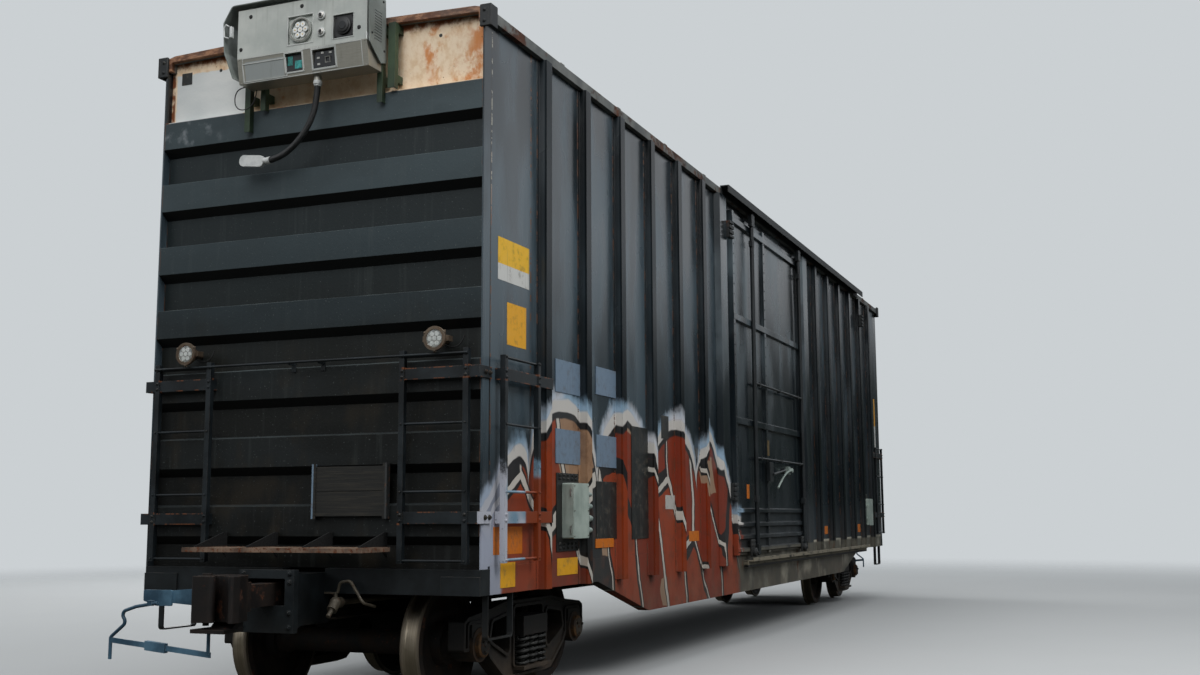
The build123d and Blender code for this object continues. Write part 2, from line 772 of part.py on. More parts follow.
# The two ladders of the -X end on straps that wrap the corners, and the long handhold that joins them
def end_ladders():
    wall = -half_length - seat_gap
    back = -half_length - strap_reach
    strap = back - ladder_sheet
    front = strap - ladder_sheet
    low, high = rung_low - stile_below, rung_high + end_stile_above
    shape = None
    tips = []
    for side, inset, width in end_ladder_places:
        y_out = side * (half_width - inset)
        y_in = y_out - side * width
        near, far = min(y_out, y_in), max(y_out, y_in) - stile_flange
        for y in (near, far):
            stile = block(front, front + stile_leg, y, y + ladder_sheet, low, high)
            stile += block(front, strap, y, y + stile_flange, low, high)
            shape = stile if shape is None else shape + stile
        for i in range(rung_count):
            z = rung_low + i * rung_pitch
            shape += bar((front + stile_leg / 2, near + ladder_sheet / 2, z),
                         (front + stile_leg / 2, far + ladder_sheet / 2, z), rung_radius)
        skin = side * (half_width + seat_gap)
        tip = skin + side * wrap_sheet
        foot = y_in + side * ladder_sheet
        wrap = -half_length + strap_wrap
        for level in strap_levels:
            z0, z1 = rail + level - strap_height / 2, rail + level + strap_height / 2
            shape += block(strap, back, min(tip, y_in), max(tip, y_in), z0, z1)
            shape += block(strap, wall, min(foot, y_in), max(foot, y_in), z0, z1)
            shape += block(strap, wrap, min(tip, skin), max(tip, skin), z0, z1)
        tips.append(y_out)
    z = rung_high + handhold_rise
    line = front - rung_radius / 2
    foot = rail + rib_top_level - handhold_rib * rib_pitch - handhold_foot
    shape += bar((line, tips[0], z), (line, tips[1], z), rung_radius)
    for y in (-handhold_bracket, handhold_bracket):
        shape += block(line, wall, y - 5, y + 5, z - 18, z + 9)
        shape += block(wall - ladder_sheet, wall, y - 18, y + 18, foot, z + 9)
    return shape


def sill_step():
    x0, x1 = -half_length + step_near, -half_length + step_far
    y = -half_width + step_inset
    low, high = rail + step_level, sheet_bottom - seat_gap
    path = FilletPolyline((x0, y, high), (x0, y, low), (x1, y, low), (x1, y, high), radius=25)
    plane = Plane(origin=path @ 0, x_dir=(1, 0, 0), z_dir=path % 0)
    return sweep(plane * Rectangle(*step_bar), path=path)


# Crossover platform of open grating across the -X end
def crossover_platform():
    x0, x1 = -half_length - platform_out, -half_length - platform_in
    top, t = rail + platform_level, platform_frame
    low = top - platform_depth
    deck = block(x0, x1, -platform_half, platform_half, low, top)
    deck -= block(x0 + t, x1 - t, -platform_half + t, platform_half - t, low - 1, top + 1)
    for i in range(1, platform_bars + 1):
        x = x0 + (x1 - x0) * i / (platform_bars + 1)
        deck += block(x - 2.5, x + 2.5, -platform_half + 1, platform_half - 1, low + 4, top - 2)
    for i in range(1, platform_crosses + 1):
        y = -platform_half + 2 * platform_half * i / (platform_crosses + 1)
        deck += block(x0 + 1, x1 - 1, y - 3, y + 3, top - 12, top - 3)
    wall = -half_length - seat_gap
    for y in platform_brackets:
        deck += along_y([(wall, low - 50), (wall, top + 105), (wall - 40, top + 105), (x0 + 60, top + 8),
                         (x0 + 60, low), (wall - 60, low)], y - 5, y + 5)
    return deck


# Air brake gear under the body
def hung_tank(x, z, radius, length, strap):
    """A round tank along X with two hangers up to the stringer above it."""
    tank = Pos(x, gear_line, z) * (Rot(0, 90, 0) * Cylinder(radius, length))
    tank = fillet(tank.edges().filter_by(GeomType.CIRCLE), radius * 0.3)
    for s in (-1, 1):
        at = x + s * length * 0.3
        tank += block(at - strap / 2, at + strap / 2, gear_line - 60, gear_line + 60, z, sill_top - seat_gap)
    return tank


def air_reservoir():
    return hung_tank(reservoir_x, sill_top - reservoir_radius - 30, reservoir_radius, reservoir_length, 40)


def brake_cylinder():
    z = sill_top - cylinder_radius - 40
    tank = hung_tank(cylinder_x, z, cylinder_radius, cylinder_length, 30)
    return tank + bar((cylinder_x - cylinder_length, gear_line, z), (cylinder_x, gear_line, z), cylinder_radius * 0.3)


def brake_valve():
    """The pipe bracket with a valve portion on each side, hung from the stringer."""
    length, width = valve_size
    low, high = rail + valve_level, sill_top - seat_gap
    middle = (low + high) / 2
    bracket = block(valve_x - length / 6, valve_x + length / 6, gear_line - width / 2, gear_line + width / 2, low, high)
    for s in (-1, 1):
        bracket += block(valve_x, valve_x + s * length / 2, gear_line - width * 0.36, gear_line + width * 0.36,
                         low + 40, middle + 90)
    return bracket + bar((valve_x - length / 2, gear_line, middle), (valve_x + length / 2 + 50, gear_line, middle), 62)


# Train pipe through the car, with an angle cock, its hose nipple and a branch pipe at each end
def brake_pipe():
    reach = half_length + cock_out
    butt = reach - cock_length - seat_gap
    parts = [bar((-butt, pipe_y, pipe_height), (butt, pipe_y, pipe_height), train_pipe_radius)]
    branch = bent_rod([(-half_length + x, y, rail + level) for x, y, level in branch_route], branch_radius, 35)
    for s in (-1, 1):
        at = Vector(s * reach, pipe_y, pipe_height)
        drop = Vector(s * cos(radians(nipple_tilt)), 0, -sin(radians(nipple_tilt)))
        body = Pos(at) * Sphere(cock_radius + 6)
        body += bar(at - Vector(s * cock_length, 0, 0), at, cock_radius)
        body += bar(at, at + drop * cock_body, cock_radius)
        body += bar(at + drop * (cock_body - 1), at + drop * (cock_body + nipple_length), nipple_radius)
        body += bar(at, at + Vector(0, 0, 74), 16)
        body += block(at.X - 12, at.X + 12, at.Y - 12, at.Y + 90, at.Z + 62, at.Z + 74)
        parts.append(body + (branch if s < 0 else mirror(branch, about=Plane.YZ)))
    return parts


# Hand brake at the +X end
def hand_brake_wheel():
    x = half_length + hand_wheel_reach
    y, z = hand_brake_y, rail + hand_brake_level
    ring = Pos(x, y, z) * (Rot(0, 90, 0) * Torus(hand_wheel_radius, hand_rim_radius))
    wheel = ring + Pos(x, y, z) * (Rot(0, 90, 0) * Cylinder(38, 60))
    for i in range(4):
        a = radians(45 + 90 * i)
        end = (x, y + hand_wheel_radius * cos(a), z + hand_wheel_radius * sin(a))
        wheel += bar((x, y, z), end, hand_rim_radius - 2)
    return wheel


def hand_brake_gear():
    x = half_length
    y, z = hand_brake_y, rail + hand_brake_level
    half = hand_gear_width / 2
    x1 = x + hand_wheel_reach - 30 - seat_gap
    case = along_x([(y - half, z + 60), (y - half * 0.6, z + 190), (y + half * 0.6, z + 190), (y + half, z + 60),
                    (y + half * 0.7, z - 260), (y - half * 0.7, z - 260)], x + seat_gap, x1, 30)
    chain = bar((x + chain_out, y, z - 255), (x + chain_out, y, end_sill_top + 10), chain_radius)
    return case + chain


# Sensor unit hung from the top of the -X end
def sensor_housing():
    front, back = -half_length - sensor_front, -half_length - sensor_back
    low, high = rail + sensor_low_level, rail + sensor_top_level
    outline = [(back, low), (back, high), (front, high), (front, rail + sensor_break_level),
               (front + sensor_set_back, low)]
    case = along_y(outline, *sensor_y)
    for y, level, width, height in sensor_windows:
        set_back = sensor_set_back if level < sensor_break_level else 0
        case -= block(front - 1, front + set_back + window_depth, y - width / 2, y + width / 2,
                      rail + level - height / 2, rail + level + height / 2)
    y, level = sensor_windows[0][:2]
    case += bar((front + window_depth + 1, y, rail + level), (front - 6, y, rail + level), sensor_lamp_radius)
    case -= bar((front - 7, y, rail + level), (front + 10, y, rail + level), sensor_lamp_radius - 18)
    for y, level in sensor_ports:
        case += bar((front + 1, y, rail + level), (front - 12, y, rail + level), port_radius)
        case -= bar((front - 13, y, rail + level), (front + 8, y, rail + level), port_radius * 0.55)
    start, after = hose_points()[:2]
    aim = (after - start).normalized()
    return case + bar(start - aim * gland_length, start, hose_radius + 9)


# Cowl round the housing's left and top, and the plate at its right
def sensor_hood():
    front, back = -half_length - sensor_front - cowl_reach, -half_length - sensor_back
    y0, y1 = sensor_y
    case_top = rail + sensor_top_level
    top = case_top + cowl_rise
    low = rail + sensor_low_level + 20
    outline = make_face(Polyline(*[Vector(front, y, z) for y, z in (
        (y1 + 12, low), (y1 + 105, rail + sensor_break_level + 60), (y1 + 120, top - 130), (y1 + 40, top), (y0 + 10, top),
        (y0 + 10, low))], close=True))
    outline = fillet(outline.vertices(), 40)
    cowl = extrude(outline - offset(outline, -cowl_sheet), amount=back - front, dir=(1, 0, 0))
    cowl -= block(front - 1, back + 1, y0 + 9, y1 + 3, low - 1, top - cowl_sheet - 0.5)
    for y in (y0 + 150, y1 - 150):
        cowl += block(front + 80, back - 40, y - 15, y + 15, case_top + seat_gap, top - 1)
    y = y0 - side_plate_gap
    wall = -half_length
    toe, heel, tail = [rail + sensor_low_level + rise for rise in side_plate_rises]
    plate = along_y([(front + 10, top - 60), (wall - 45, top - 60), (wall - 20, tail), (wall - 100, heel),
                     (front + 30, toe)], y - cowl_sheet, y)
    for level in side_pin_levels:
        plate += bar((wall - 110, y - 1, rail + level), (wall - 110, y0 - seat_gap, rail + level), 12)
    return [cowl, plate]


def sensor_brackets():
    parts = []
    wall = -half_length - seat_gap
    for y, level, width in sensor_legs:
        first = rail + level
        top = rail + leg_top_level
        leg = block(wall - leg_depth, wall, y - width / 2, y + width / 2, first, top)
        leg -= block(wall - leg_depth + leg_sheet, wall + 1, y - width / 2 + leg_sheet, y + width / 2 + 1, first - 1,
                     top + 1)
        for spacer in leg_spacer_levels:
            leg += block(wall - 1, wall + end_recess, y - width / 2, y + width / 2, rail + spacer, rail + spacer + 60)
        parts.append(leg)
    return parts


def hose_points():
    return [Vector(-half_length + x, y, rail + level) for x, y, level in hose_route]


def hose():
    points = hose_points()
    radii = []
    for a, b, c in zip(points, points[1:], points[2:]):
        turn = radians((b - a).get_angle(c - b))
        radii.append(0.45 * min((b - a).length, (c - b).length) / tan(turn / 2))
    path = FilletPolyline(*points, radius=radii)
    start = Plane(origin=path @ 0, z_dir=path % 0)
    tube = sweep(start * Circle(hose_radius), path=path)
    ratio = tube.volume / (pi * hose_radius ** 2 * path.length)
    print("hose bend radii", [round(r) for r in radii])
    print("hose length", round(path.length, 1), "volume ratio", round(ratio, 4))
    return tube


# What the hose ends in: an elbow with a swivel and a flat paddle
def hose_end():
    before, end = hose_points()[-2:]
    aim = (end - before).normalized()
    elbow = extrude(Plane(origin=end, z_dir=aim) * Circle(hose_radius + 4), amount=34)
    tip = end + aim * 30
    elbow += bar(tip, tip + Vector(0, 30, 6), swivel_radius)
    thick, length, tall = paddle_size
    plane = Plane(origin=tip + Vector(0, 25 + length / 2, 12), z_dir=(1, 0, 0), x_dir=(0, 1, 0.12))
    paddle = extrude(plane * RectangleRounded(length, tall, tall * 0.45), amount=thick / 2, both=True)
    return elbow + paddle


# Round lamp on a yoke, on the -X end
def end_lamp(y):
    face = -half_length - lamp_out
    z = rail + lamp_level
    back = face + lamp_depth
    section = make_face(Polyline((0, 0), (lamp_radius - 26, 0), (lamp_radius - 22, -8), (lamp_radius, -8),
                                 (lamp_radius, 14), (lamp_radius - 14, 22), (lamp_radius - 30, lamp_depth - 12),
                                 (lamp_radius - 56, lamp_depth), (0, lamp_depth), close=True))
    bowl = Pos(face, y, z) * (Rot(0, 0, -90) * revolve(section, axis=Axis.Y))
    yoke = block(back - 22, back - 2, y - lamp_radius - 16, y + lamp_radius + 16, z - 20, z + 20)
    for s in (-1, 1):
        yoke += block(face + 12, back - 2, y + s * (lamp_radius - 6), y + s * (lamp_radius + 16), z - 20, z + 20)
    wall = -half_length + rest_depth(z) - seat_gap
    post = bar((back - 10, y, z), (wall, y, z), 24)
    return bowl + yoke + post


def rest_depth(z):
    """How far the end wall lies behind the ribs' faces at the height z."""
    below = (rail + rib_top_level - z) % rib_pitch
    if below < rib_face:
        return 0.0
    return min(end_recess, (below - rib_face) * end_recess / rib_under)


# Board of two planks between channels, on the -X end
def placard_board():
    y0, y1 = board_y
    wall = -half_length - seat_gap
    low, high = (rail + level for level in board_levels)
    middle = (low + high) / 2
    front = wall - board_thickness
    board = block(front, wall - 8, y0 + 12, y1 - 12, low, middle - 2) + block(front, wall - 8, y0 + 12, y1 - 12,
                                                                              middle + 2, high)
    for y, s in ((y0, 1), (y1, -1)):
        board += block(front - 8, wall, y, y + s * 14, low - 20, high + 20)
        board += block(front - 8, front, y, y + s * 34, low - 20, high + 20)
    return board


def junction_box():
    """Box on a backing plate between two posts, with its cable fittings, made for the -X end."""
    x0 = -half_length + box_from_end
    x1 = x0 + box_width
    wall = -half_width - seat_gap
    low, high = (rail + level for level in box_levels)
    box = block(x0, x1, wall - box_depth, wall - box_plate, low, high)
    box = fillet(box.edges().filter_by(Axis.Y), 14)
    for z in (low + 110, high - 110):
        box += bar((x1 - 1, wall - 60, z), (x1 + 42, wall - 60, z), 22)
    return box + block(x0 - box_margin, x1 + 14, wall - box_plate - 1, wall, low - box_margin, high + box_margin - 20)


# Truck pieces, made about a truck centre at x 0
def frame_face(points, soften):
    """A face in the XZ plane from its (x, level) corners, with rounded corners."""
    face = make_face(Polyline(*[Vector(x, 0, rail + level) for x, level in points], close=True))
    return fillet(face.vertices(), soften)


def mirrored(half):
    """The corners of one half, then those of the other, in reverse."""
    return half + [(-x, level) for x, level in reversed(half)]


def side_frame(side):
    """Cast side frame: top and bottom members round a spring window, with pedestals over the bearings."""
    jaw_in, jaw_out = half_base - jaw_half, half_base + jaw_half
    end = jaw_out + jaw_leg
    column = column_inner + column_width
    outline = frame_face(mirrored([
        (column + 80, frame_crown_level), (jaw_in - 50, 705), (end - 70, 668), (end - 6, 636), (end, jaw_foot_level),
        (jaw_out, jaw_foot_level), (jaw_out, jaw_roof_level), (jaw_in, jaw_roof_level), (jaw_in, jaw_foot_level),
        (jaw_in - 61, 340), (column + 80, frame_belly_level + 12), (column - 60, frame_belly_level),
    ]), 18)
    windows = [frame_face(mirrored([(column_inner, window_roof_level), (column_inner, spring_seat_level)]), 30)]
    for s in (-1, 1):
        windows.append(frame_face([(s * column, 330), (s * column, 645), (s * (jaw_in - 111), 605),
                                   (s * (jaw_in - 71), 470)], 36))
    y = side * frame_y
    reach = Vector(0, side, 0)
    plate = Pos(0, y - side * frame_half, 0) * extrude(outline, amount=2 * frame_half, dir=reach)
    relief = offset(outline, -frame_rim)
    for window in windows:
        plate -= Pos(0, y - side * (frame_half + 1), 0) * extrude(window, amount=2 * frame_half + 2, dir=reach)
        relief -= offset(window, frame_rim)
    plate -= Pos(0, y + side * (frame_half - frame_relief), 0) * extrude(relief, amount=frame_relief + 1, dir=reach)
    shelf = max(coil_columns) + coil_radius + 6
    plate += block(-column_inner - 1, column_inner + 1, y - shelf, y + shelf, spring_seat - spring_shelf, spring_seat)
    for s in (-1, 1):
        adapter = block(s * half_base - 120, s * half_base + 120, y - 80, y + 80, axle_height + 60,
                        rail + jaw_roof_level + 0.5)
        plate += adapter - Pos(s * half_base, y, axle_height) * (Rot(90, 0, 0) * Cylinder(cup_radius + seat_gap, 300))
    return plate


def truck_bolster():
    """Cast bolster with deeper middle, a bowl for the centre plate, side bearing cages and lightening holes."""
    middle = 420.0
    low = spring_top + seat_gap
    end_top = rail + bolster_top_level + 5
    outline = [(-bolster_reach, low), (-middle - 260, low), (-middle, rail + 400), (middle, rail + 400),
               (middle + 260, low), (bolster_reach, low), (bolster_reach, end_top), (middle + 60, bolster_top),
               (-middle - 60, bolster_top), (-bolster_reach, end_top)]
    beam = along_x(outline, -bolster_half, bolster_half)
    for y in (-330.0, 330.0):
        beam -= bar((-bolster_half - 1, y, rail + 505), (bolster_half + 1, y, rail + 505), 62)
    rise = centre_plate_height - bolster_top
    outer = centre_plate_radius + bowl_rim
    bowl = extrude(Plane.XY.offset(bolster_top - 1) * (Circle(outer) - Circle(centre_plate_radius + 6)), amount=rise + 20)
    floor = extrude(Plane.XY.offset(bolster_top - 1) * Circle(outer), amount=rise + 1 - seat_gap)
    cages = [block(-130, 130, y - 65, y + 65, bolster_top - 20, bolster_top + side_bearing_height)
             for y in (-side_bearing_y, side_bearing_y)]
    return beam + bowl + floor + cages


def spring():
    """A nest of coils drawn as one solid, with one ridge of wire to each turn."""
    pitch = (spring_top - spring_seat) / coil_turns
    outline = [(0, spring_seat)]
    for i in range(coil_turns):
        z = spring_seat + i * pitch
        outline += [(coil_radius - coil_wire / 2, z), (coil_radius, z + pitch * 0.3), (coil_radius, z + pitch * 0.62),
                    (coil_radius - coil_wire / 2, z + pitch * 0.92)]
    outline += [(coil_radius - coil_wire / 2, spring_top), (0, spring_top)]
    section = make_face(Polyline(*[Vector(r, 0, z) for r, z in outline], close=True))
    return revolve(section, axis=Axis.Z)


def springs(side):
    coil = spring()
    return [Pos(x, side * frame_y + y, 0) * coil for x in coil_rows for y in coil_columns]


def brake_beam(s):
    """Brake beam between the wheels of one axle and the bolster, with a curved shoe for each wheel."""
    x = s * (half_base - wheel_radius - beam_offset)
    end = frame_y - frame_half - seat_gap
    z0, z1 = axle_height - 100, axle_height - 100 + beam_depth
    beam = block(x - beam_half, x + beam_half, -end, end, z0, z1)
    beam -= block(x, x + s * (beam_half + 1), -wheel_back + 40, wheel_back - 40, z0 + 12, z1 - 12)
    strut = x - s * (beam_half + strut_reach)
    beam += block(x, strut, -30, 30, z0 + 10, z1 - 10)
    for side in (-1, 1):
        beam += bar((x - s * beam_half, side * (wheel_back - 60), z0 + 35), (strut, 0, z0 + 35), 14)
    inner = wheel_radius + shoe_gap
    outer = inner + shoe_thickness
    wheel_x = s * half_base
    toward = 180 if s > 0 else 0
    wedge = [(wheel_x, axle_height)]
    for a in (toward - shoe_half_angle - s * 10, toward + shoe_half_angle - s * 10):
        wedge.append((wheel_x + 700 * cos(radians(a)), axle_height + 700 * sin(radians(a))))
    for side in (-1, 1):
        y = side * (wheel_back + flange_thickness + shoe_side_gap + shoe_width / 2)
        y0, y1 = y - shoe_width / 2, y + shoe_width / 2
        ring = Pos(wheel_x, y, axle_height) * (Rot(90, 0, 0) * (Cylinder(outer, shoe_width) - Cylinder(inner, shoe_width)))
        shoe = ring & along_y(wedge, y0 - 1, y1 + 1)
        head = block(x, wheel_x - s * (outer - 12), y0 + 10, y1 - 10, z0 - 40, z1 + 40)
        beam += shoe + (head - Pos(wheel_x, y, axle_height) * (Rot(90, 0, 0) * Cylinder(outer - 8, 2 * shoe_width)))
    return beam


def wheel():
    """One wheel turned about the axle, with its back face towards the car's centre line."""
    back, face = wheel_back, wheel_back + rim_width
    tread = wheel_radius
    tip = wheel_radius + flange_height
    rim = wheel_radius - rim_depth
    mid = (back + face) / 2
    bore = wheel_seat_radius + seat_gap
    outline = [
        (bore, back - hub_reach), (hub_radius, back - hub_reach), (hub_radius + 12, mid - 30),
        (hub_radius + 90, mid - 34), (rim - 20, mid - 14), (rim - 4, back + 6), (rim, back), (tip - 8, back),
        (tip, back + 10), (tip - 3, back + 20), (tread + 4, back + flange_thickness),
        (tread, back + flange_thickness + 8), (tread - 4, face - 8), (tread - 10, face), (rim, face),
        (rim - 6, face - 8), (rim - 20, mid - 14 + plate_thickness), (hub_radius + 90, mid - 34 + plate_thickness),
        (hub_radius + 14, mid + 6), (hub_radius, face + 6), (bore, face + 6),
    ]
    section = make_face(Polyline(*[Vector(r, y) for r, y in outline], close=True))
    return revolve(section, axis=Axis.Y, revolution_arc=360)


def axle():
    """The axle with its two journal bearings and end caps."""
    hub_end = wheel_back + rim_width + 6
    cup_start = journal_centre - cup_length / 2
    cup_end = journal_centre + cup_length / 2
    half = [
        (0, 0), (axle_radius, 0), (axle_radius, wheel_back - 120), (wheel_seat_radius, wheel_back - 60),
        (wheel_seat_radius, hub_end), (wheel_seat_radius - 16, hub_end + 12), (wheel_seat_radius - 16, cup_start - 18),
        (cup_radius - 16, cup_start - 18), (cup_radius - 16, cup_start), (cup_radius, cup_start),
        (cup_radius, cup_end), (cap_radius, cup_end), (cap_radius, cup_end + cap_reach - 8),
        (cap_radius - 10, cup_end + cap_reach), (0, cup_end + cap_reach),
    ]
    section = make_face(Polyline(*[Vector(r, y) for r, y in half], close=True))
    turned = revolve(section, axis=Axis.Y, revolution_arc=360)
    return turned + mirror(turned, about=Plane.XZ)


def wheelset():
    right = wheel()
    return [Pos(0, 0, axle_height) * part for part in (axle(), right, mirror(right, about=Plane.XZ))]


ends = (-1, 1)
sides = (-1, 1)
end_names = {-1: "a", 1: "b"}
side_names = {-1: "right", 1: "left"}

save("centre_sill", centre_sill())
save("strikers", *[to_end(striker(), e) for e in ends])
for e in ends:
    save(f"coupler_{end_names[e]}", to_end(coupler_head(), e), to_end(knuckle(), e))
save("body_bolsters", *[p for e in ends for p in body_bolster(e * truck_x)])
save("floor_beams", *[floor_beam(x, s) for x in beam_places for s in sides])
save("floor_stringers", *[stringer(y) for y in stringer_places])
save("floor_deck", floor_deck())
save("roof", roof())
for s in sides:
    name = side_names[s]
    save(f"side_sill_{name}", to_side(side_sill(), s))
    wall = side_wall()
    save(f"side_wall_a_{name}", to_side(wall, s))
    save(f"side_wall_b_{name}", to_side(mirror(wall, about=Plane.YZ), s))
    save(f"door_frame_{name}", to_side(door_frame(), s))
    save(f"plug_door_{name}", turn_side(plug_door(), s))
    save(f"door_gear_{name}", *[turn_side(p, s) for p in door_gear()])
    save(f"door_tracks_{name}", *[turn_side(p, s) for p in door_tracks()])
for e in ends:
    name = end_names[e]
    save(f"end_wall_{name}", to_end(end_wall(), e))
    save(f"end_ladders_{name}", to_end(end_ladders(), e))
    save(f"crossover_platform_{name}", to_end(crossover_platform(), e))
save("end_sills", *[to_end(p, e) for e in ends for p in end_sill()])
save("uncoupling_levers", *[to_end(p, e) for e in ends for p in uncoupling_lever()])
ladder, step = side_ladder(), sill_step()
save("side_ladders", *[mirror(to_side(ladder, s), about=Plane.YZ) if e > 0 else to_side(ladder, s)
                       for s in sides for e in ends])
save("sill_steps", *[mirror(to_side(step, s), about=Plane.YZ) if e > 0 else to_side(step, s)
                     for s in sides for e in ends])
save("air_reservoir", air_reservoir())
save("brake_valve", brake_valve())
save("brake_cylinder", brake_cylinder())
save("brake_pipe", *brake_pipe())
save("hand_brake_wheel", hand_brake_wheel())
save("hand_brake_gear", hand_brake_gear())
save("sensor_housing", sensor_housing())
save("sensor_hood", *sensor_hood())
save("sensor_brackets", *sensor_brackets())
save("sensor_hose", hose())
save("hose_end", hose_end())
save("end_lamps", *[end_lamp(y) for y in lamp_places])
save("placard_board", placard_board())
box = junction_box()
save("junction_box", box, mirror(box, about=Plane.YZ))
for e in ends:
    name = end_names[e]
    move = Pos(e * truck_x, 0, 0)
    save(f"side_frames_{name}", *[move * side_frame(s) for s in sides])
    save(f"truck_bolster_{name}", move * truck_bolster())
    save(f"truck_springs_{name}", *[move * p for s in sides for p in springs(s)])
    save(f"brake_beams_{name}", *[move * brake_beam(s) for s in (-1, 1)])
    for k in (1, 2):
        offset_x = (k * 2 - 3) * half_base
        save(f"wheelset_{name}{k}", *[Pos(e * truck_x + offset_x, 0, 0) * part for part in wheelset()])
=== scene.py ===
# Railroad boxcar with plug doors: finish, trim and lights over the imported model.
# Everything is in metres. x runs along the car, the sensor end is at -x, z is 0 at the flange tips.
import math

import bmesh
import bpy
from mathutils import Matrix, Vector


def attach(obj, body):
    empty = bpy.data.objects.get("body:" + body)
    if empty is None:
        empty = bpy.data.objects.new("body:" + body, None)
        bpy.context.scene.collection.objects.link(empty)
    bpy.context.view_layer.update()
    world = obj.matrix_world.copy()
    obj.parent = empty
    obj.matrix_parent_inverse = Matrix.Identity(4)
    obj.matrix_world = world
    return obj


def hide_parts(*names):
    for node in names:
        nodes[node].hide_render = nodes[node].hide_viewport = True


for spare in ("Cube", "Light", "Camera"):
    if spare in bpy.data.objects:
        bpy.data.objects.remove(bpy.data.objects[spare])

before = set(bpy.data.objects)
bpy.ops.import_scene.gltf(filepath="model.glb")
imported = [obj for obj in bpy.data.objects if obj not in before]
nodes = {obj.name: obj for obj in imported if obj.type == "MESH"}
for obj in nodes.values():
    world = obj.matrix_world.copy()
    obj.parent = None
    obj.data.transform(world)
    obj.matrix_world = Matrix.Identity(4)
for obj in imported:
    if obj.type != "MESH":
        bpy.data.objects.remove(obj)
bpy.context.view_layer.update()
scene = bpy.context.scene
print("frame loaded:", len(nodes), "pieces")

carBody = {
    "rail": 0.025, "halfLength": 7.74, "halfWidth": 1.457, "truckX": 6.14, "halfBase": 0.889,
    "axleHeight": 0.482, "journalY": 1.0035, "lastPost": 2.681, "postPitch": 0.812,
}
rail = carBody["rail"]
endX = -carBody["halfLength"]
sideY = -carBody["halfWidth"]


# Camera first, then the hose, because the room for the hose depends on what the camera sees
viewPoint = {"place": (-15.935, -5.694, 1.432), "yaw": 22.154, "pitch": 7.779, "roll": -0.289, "lens": 39.2}


def makeCamera():
    data = bpy.data.cameras.new("photoCamera")
    data.sensor_width = 36
    data.lens = viewPoint["lens"]
    data.clip_end = 600
    camera = bpy.data.objects.new("photoCamera", data)
    scene.collection.objects.link(camera)
    yaw, pitch, roll = (math.radians(viewPoint[k]) for k in ("yaw", "pitch", "roll"))
    ahead = Vector((math.cos(pitch) * math.cos(yaw), math.cos(pitch) * math.sin(yaw), math.sin(pitch)))
    across = Vector((math.sin(yaw), -math.cos(yaw), 0))
    above = across.cross(ahead)
    right = across * math.cos(roll) + above * math.sin(roll)
    top = above * math.cos(roll) - across * math.sin(roll)
    turn = Matrix((right, top, -ahead)).transposed().to_4x4()
    turn.translation = Vector(viewPoint["place"])
    camera.matrix_world = turn
    scene.camera = camera


makeCamera()


# Shader trees are written as sums. A Signal is one socket's value, and arithmetic on it adds Math nodes.
class Signal:
    def __init__(self, socket):
        self.socket = socket

    def __add__(self, other):
        return calc("ADD", self, other)

    def __sub__(self, other):
        return calc("SUBTRACT", self, other)

    def __rsub__(self, other):
        return calc("SUBTRACT", other, self)

    def __mul__(self, other):
        return calc("MULTIPLY", self, other)

    def __truediv__(self, other):
        return calc("DIVIDE", self, other)

    def __rtruediv__(self, other):
        return calc("DIVIDE", other, self)

    def __mod__(self, other):
        return calc("MODULO", self, other)

    def __pow__(self, other):
        return calc("POWER", self, other)

    def __lt__(self, other):
        return calc("LESS_THAN", self, other)

    def __abs__(self):
        return calc("ABSOLUTE", self)


class Step:
    # A node, with its outputs as signals by name or number.
    def __init__(self, node):
        self.node = node

    def __getitem__(self, key):
        return Signal(self.node.outputs[key])


def treeOf(*values):
    return next(v.socket.id_data for v in values if isinstance(v, Signal))


def rgb(r, g, b):
    # sRGB numbers from 0 to 255 as a linear colour.
    parts = [v / 255 for v in (r, g, b)]
    return tuple(p / 12.92 if p <= 0.0404 else ((p + 0.055) / 1.055) ** 2.4 for p in parts) + (1.0,)


def feed(socket, value):
    # Links a signal, or sets a number or a vector, or a colour from its three sRGB numbers.
    if isinstance(value, Signal):
        socket.id_data.links.new(value.socket, socket)
    elif socket.type == "RGBA":
        socket.default_value = rgb(*value)
    else:
        socket.default_value = value


def addNode(tree, kind, values=None, **settings):
    made = tree.nodes.new(kind)
    for name, value in settings.items():
        setattr(made, name, value)
    for name, value in (values or {}).items():
        feed(made.inputs[name], value)
    return Step(made)


def calc(operation, a, b=0.0, clamp=False):
    return addNode(treeOf(a, b), "ShaderNodeMath", {0: a, 1: b}, operation=operation, use_clamp=clamp)[0]


def calcVector(operation, a, b):
    return addNode(treeOf(a), "ShaderNodeVectorMath", {0: a, 1: b}, operation=operation)


def span(value, low, high, toLow=0.0, toHigh=1.0):
    # A soft step from toLow to toHigh while the value goes from low to high.
    return addNode(treeOf(value), "ShaderNodeMapRange", {0: value, 1: low, 2: high, 3: toLow, 4: toHigh},
                   interpolation_type="SMOOTHSTEP")[0]


def inside(value, low, high, soft=0.004):
    # 1 between low and high, 0 outside, with a soft edge.
    return span(value, low - soft, low + soft) * span(value, high - soft, high + soft, 1.0, 0.0)


def mixColour(amount, a, b):
    return addNode(treeOf(amount, a, b), "ShaderNodeMix", {0: amount, 6: a, 7: b}, data_type="RGBA")[2]


def grade(value, stops, mode="LINEAR"):
    # Colours at places from 0 to 1, read at the value.
    made = addNode(treeOf(value), "ShaderNodeValToRGB", {0: value})
    ramp = made.node.color_ramp
    ramp.interpolation = mode
    while len(ramp.elements) < len(stops):
        ramp.elements.new(0.5)
    for element, (place, colour) in zip(ramp.elements, stops):
        element.position = place
        element.color = rgb(*colour)
    return made[0]


def noise(vector, scale, detail=4.0, rough=0.55):
    return addNode(treeOf(vector), "ShaderNodeTexNoise",
                   {"Vector": vector, "Scale": scale, "Detail": detail, "Roughness": rough})["Fac"]


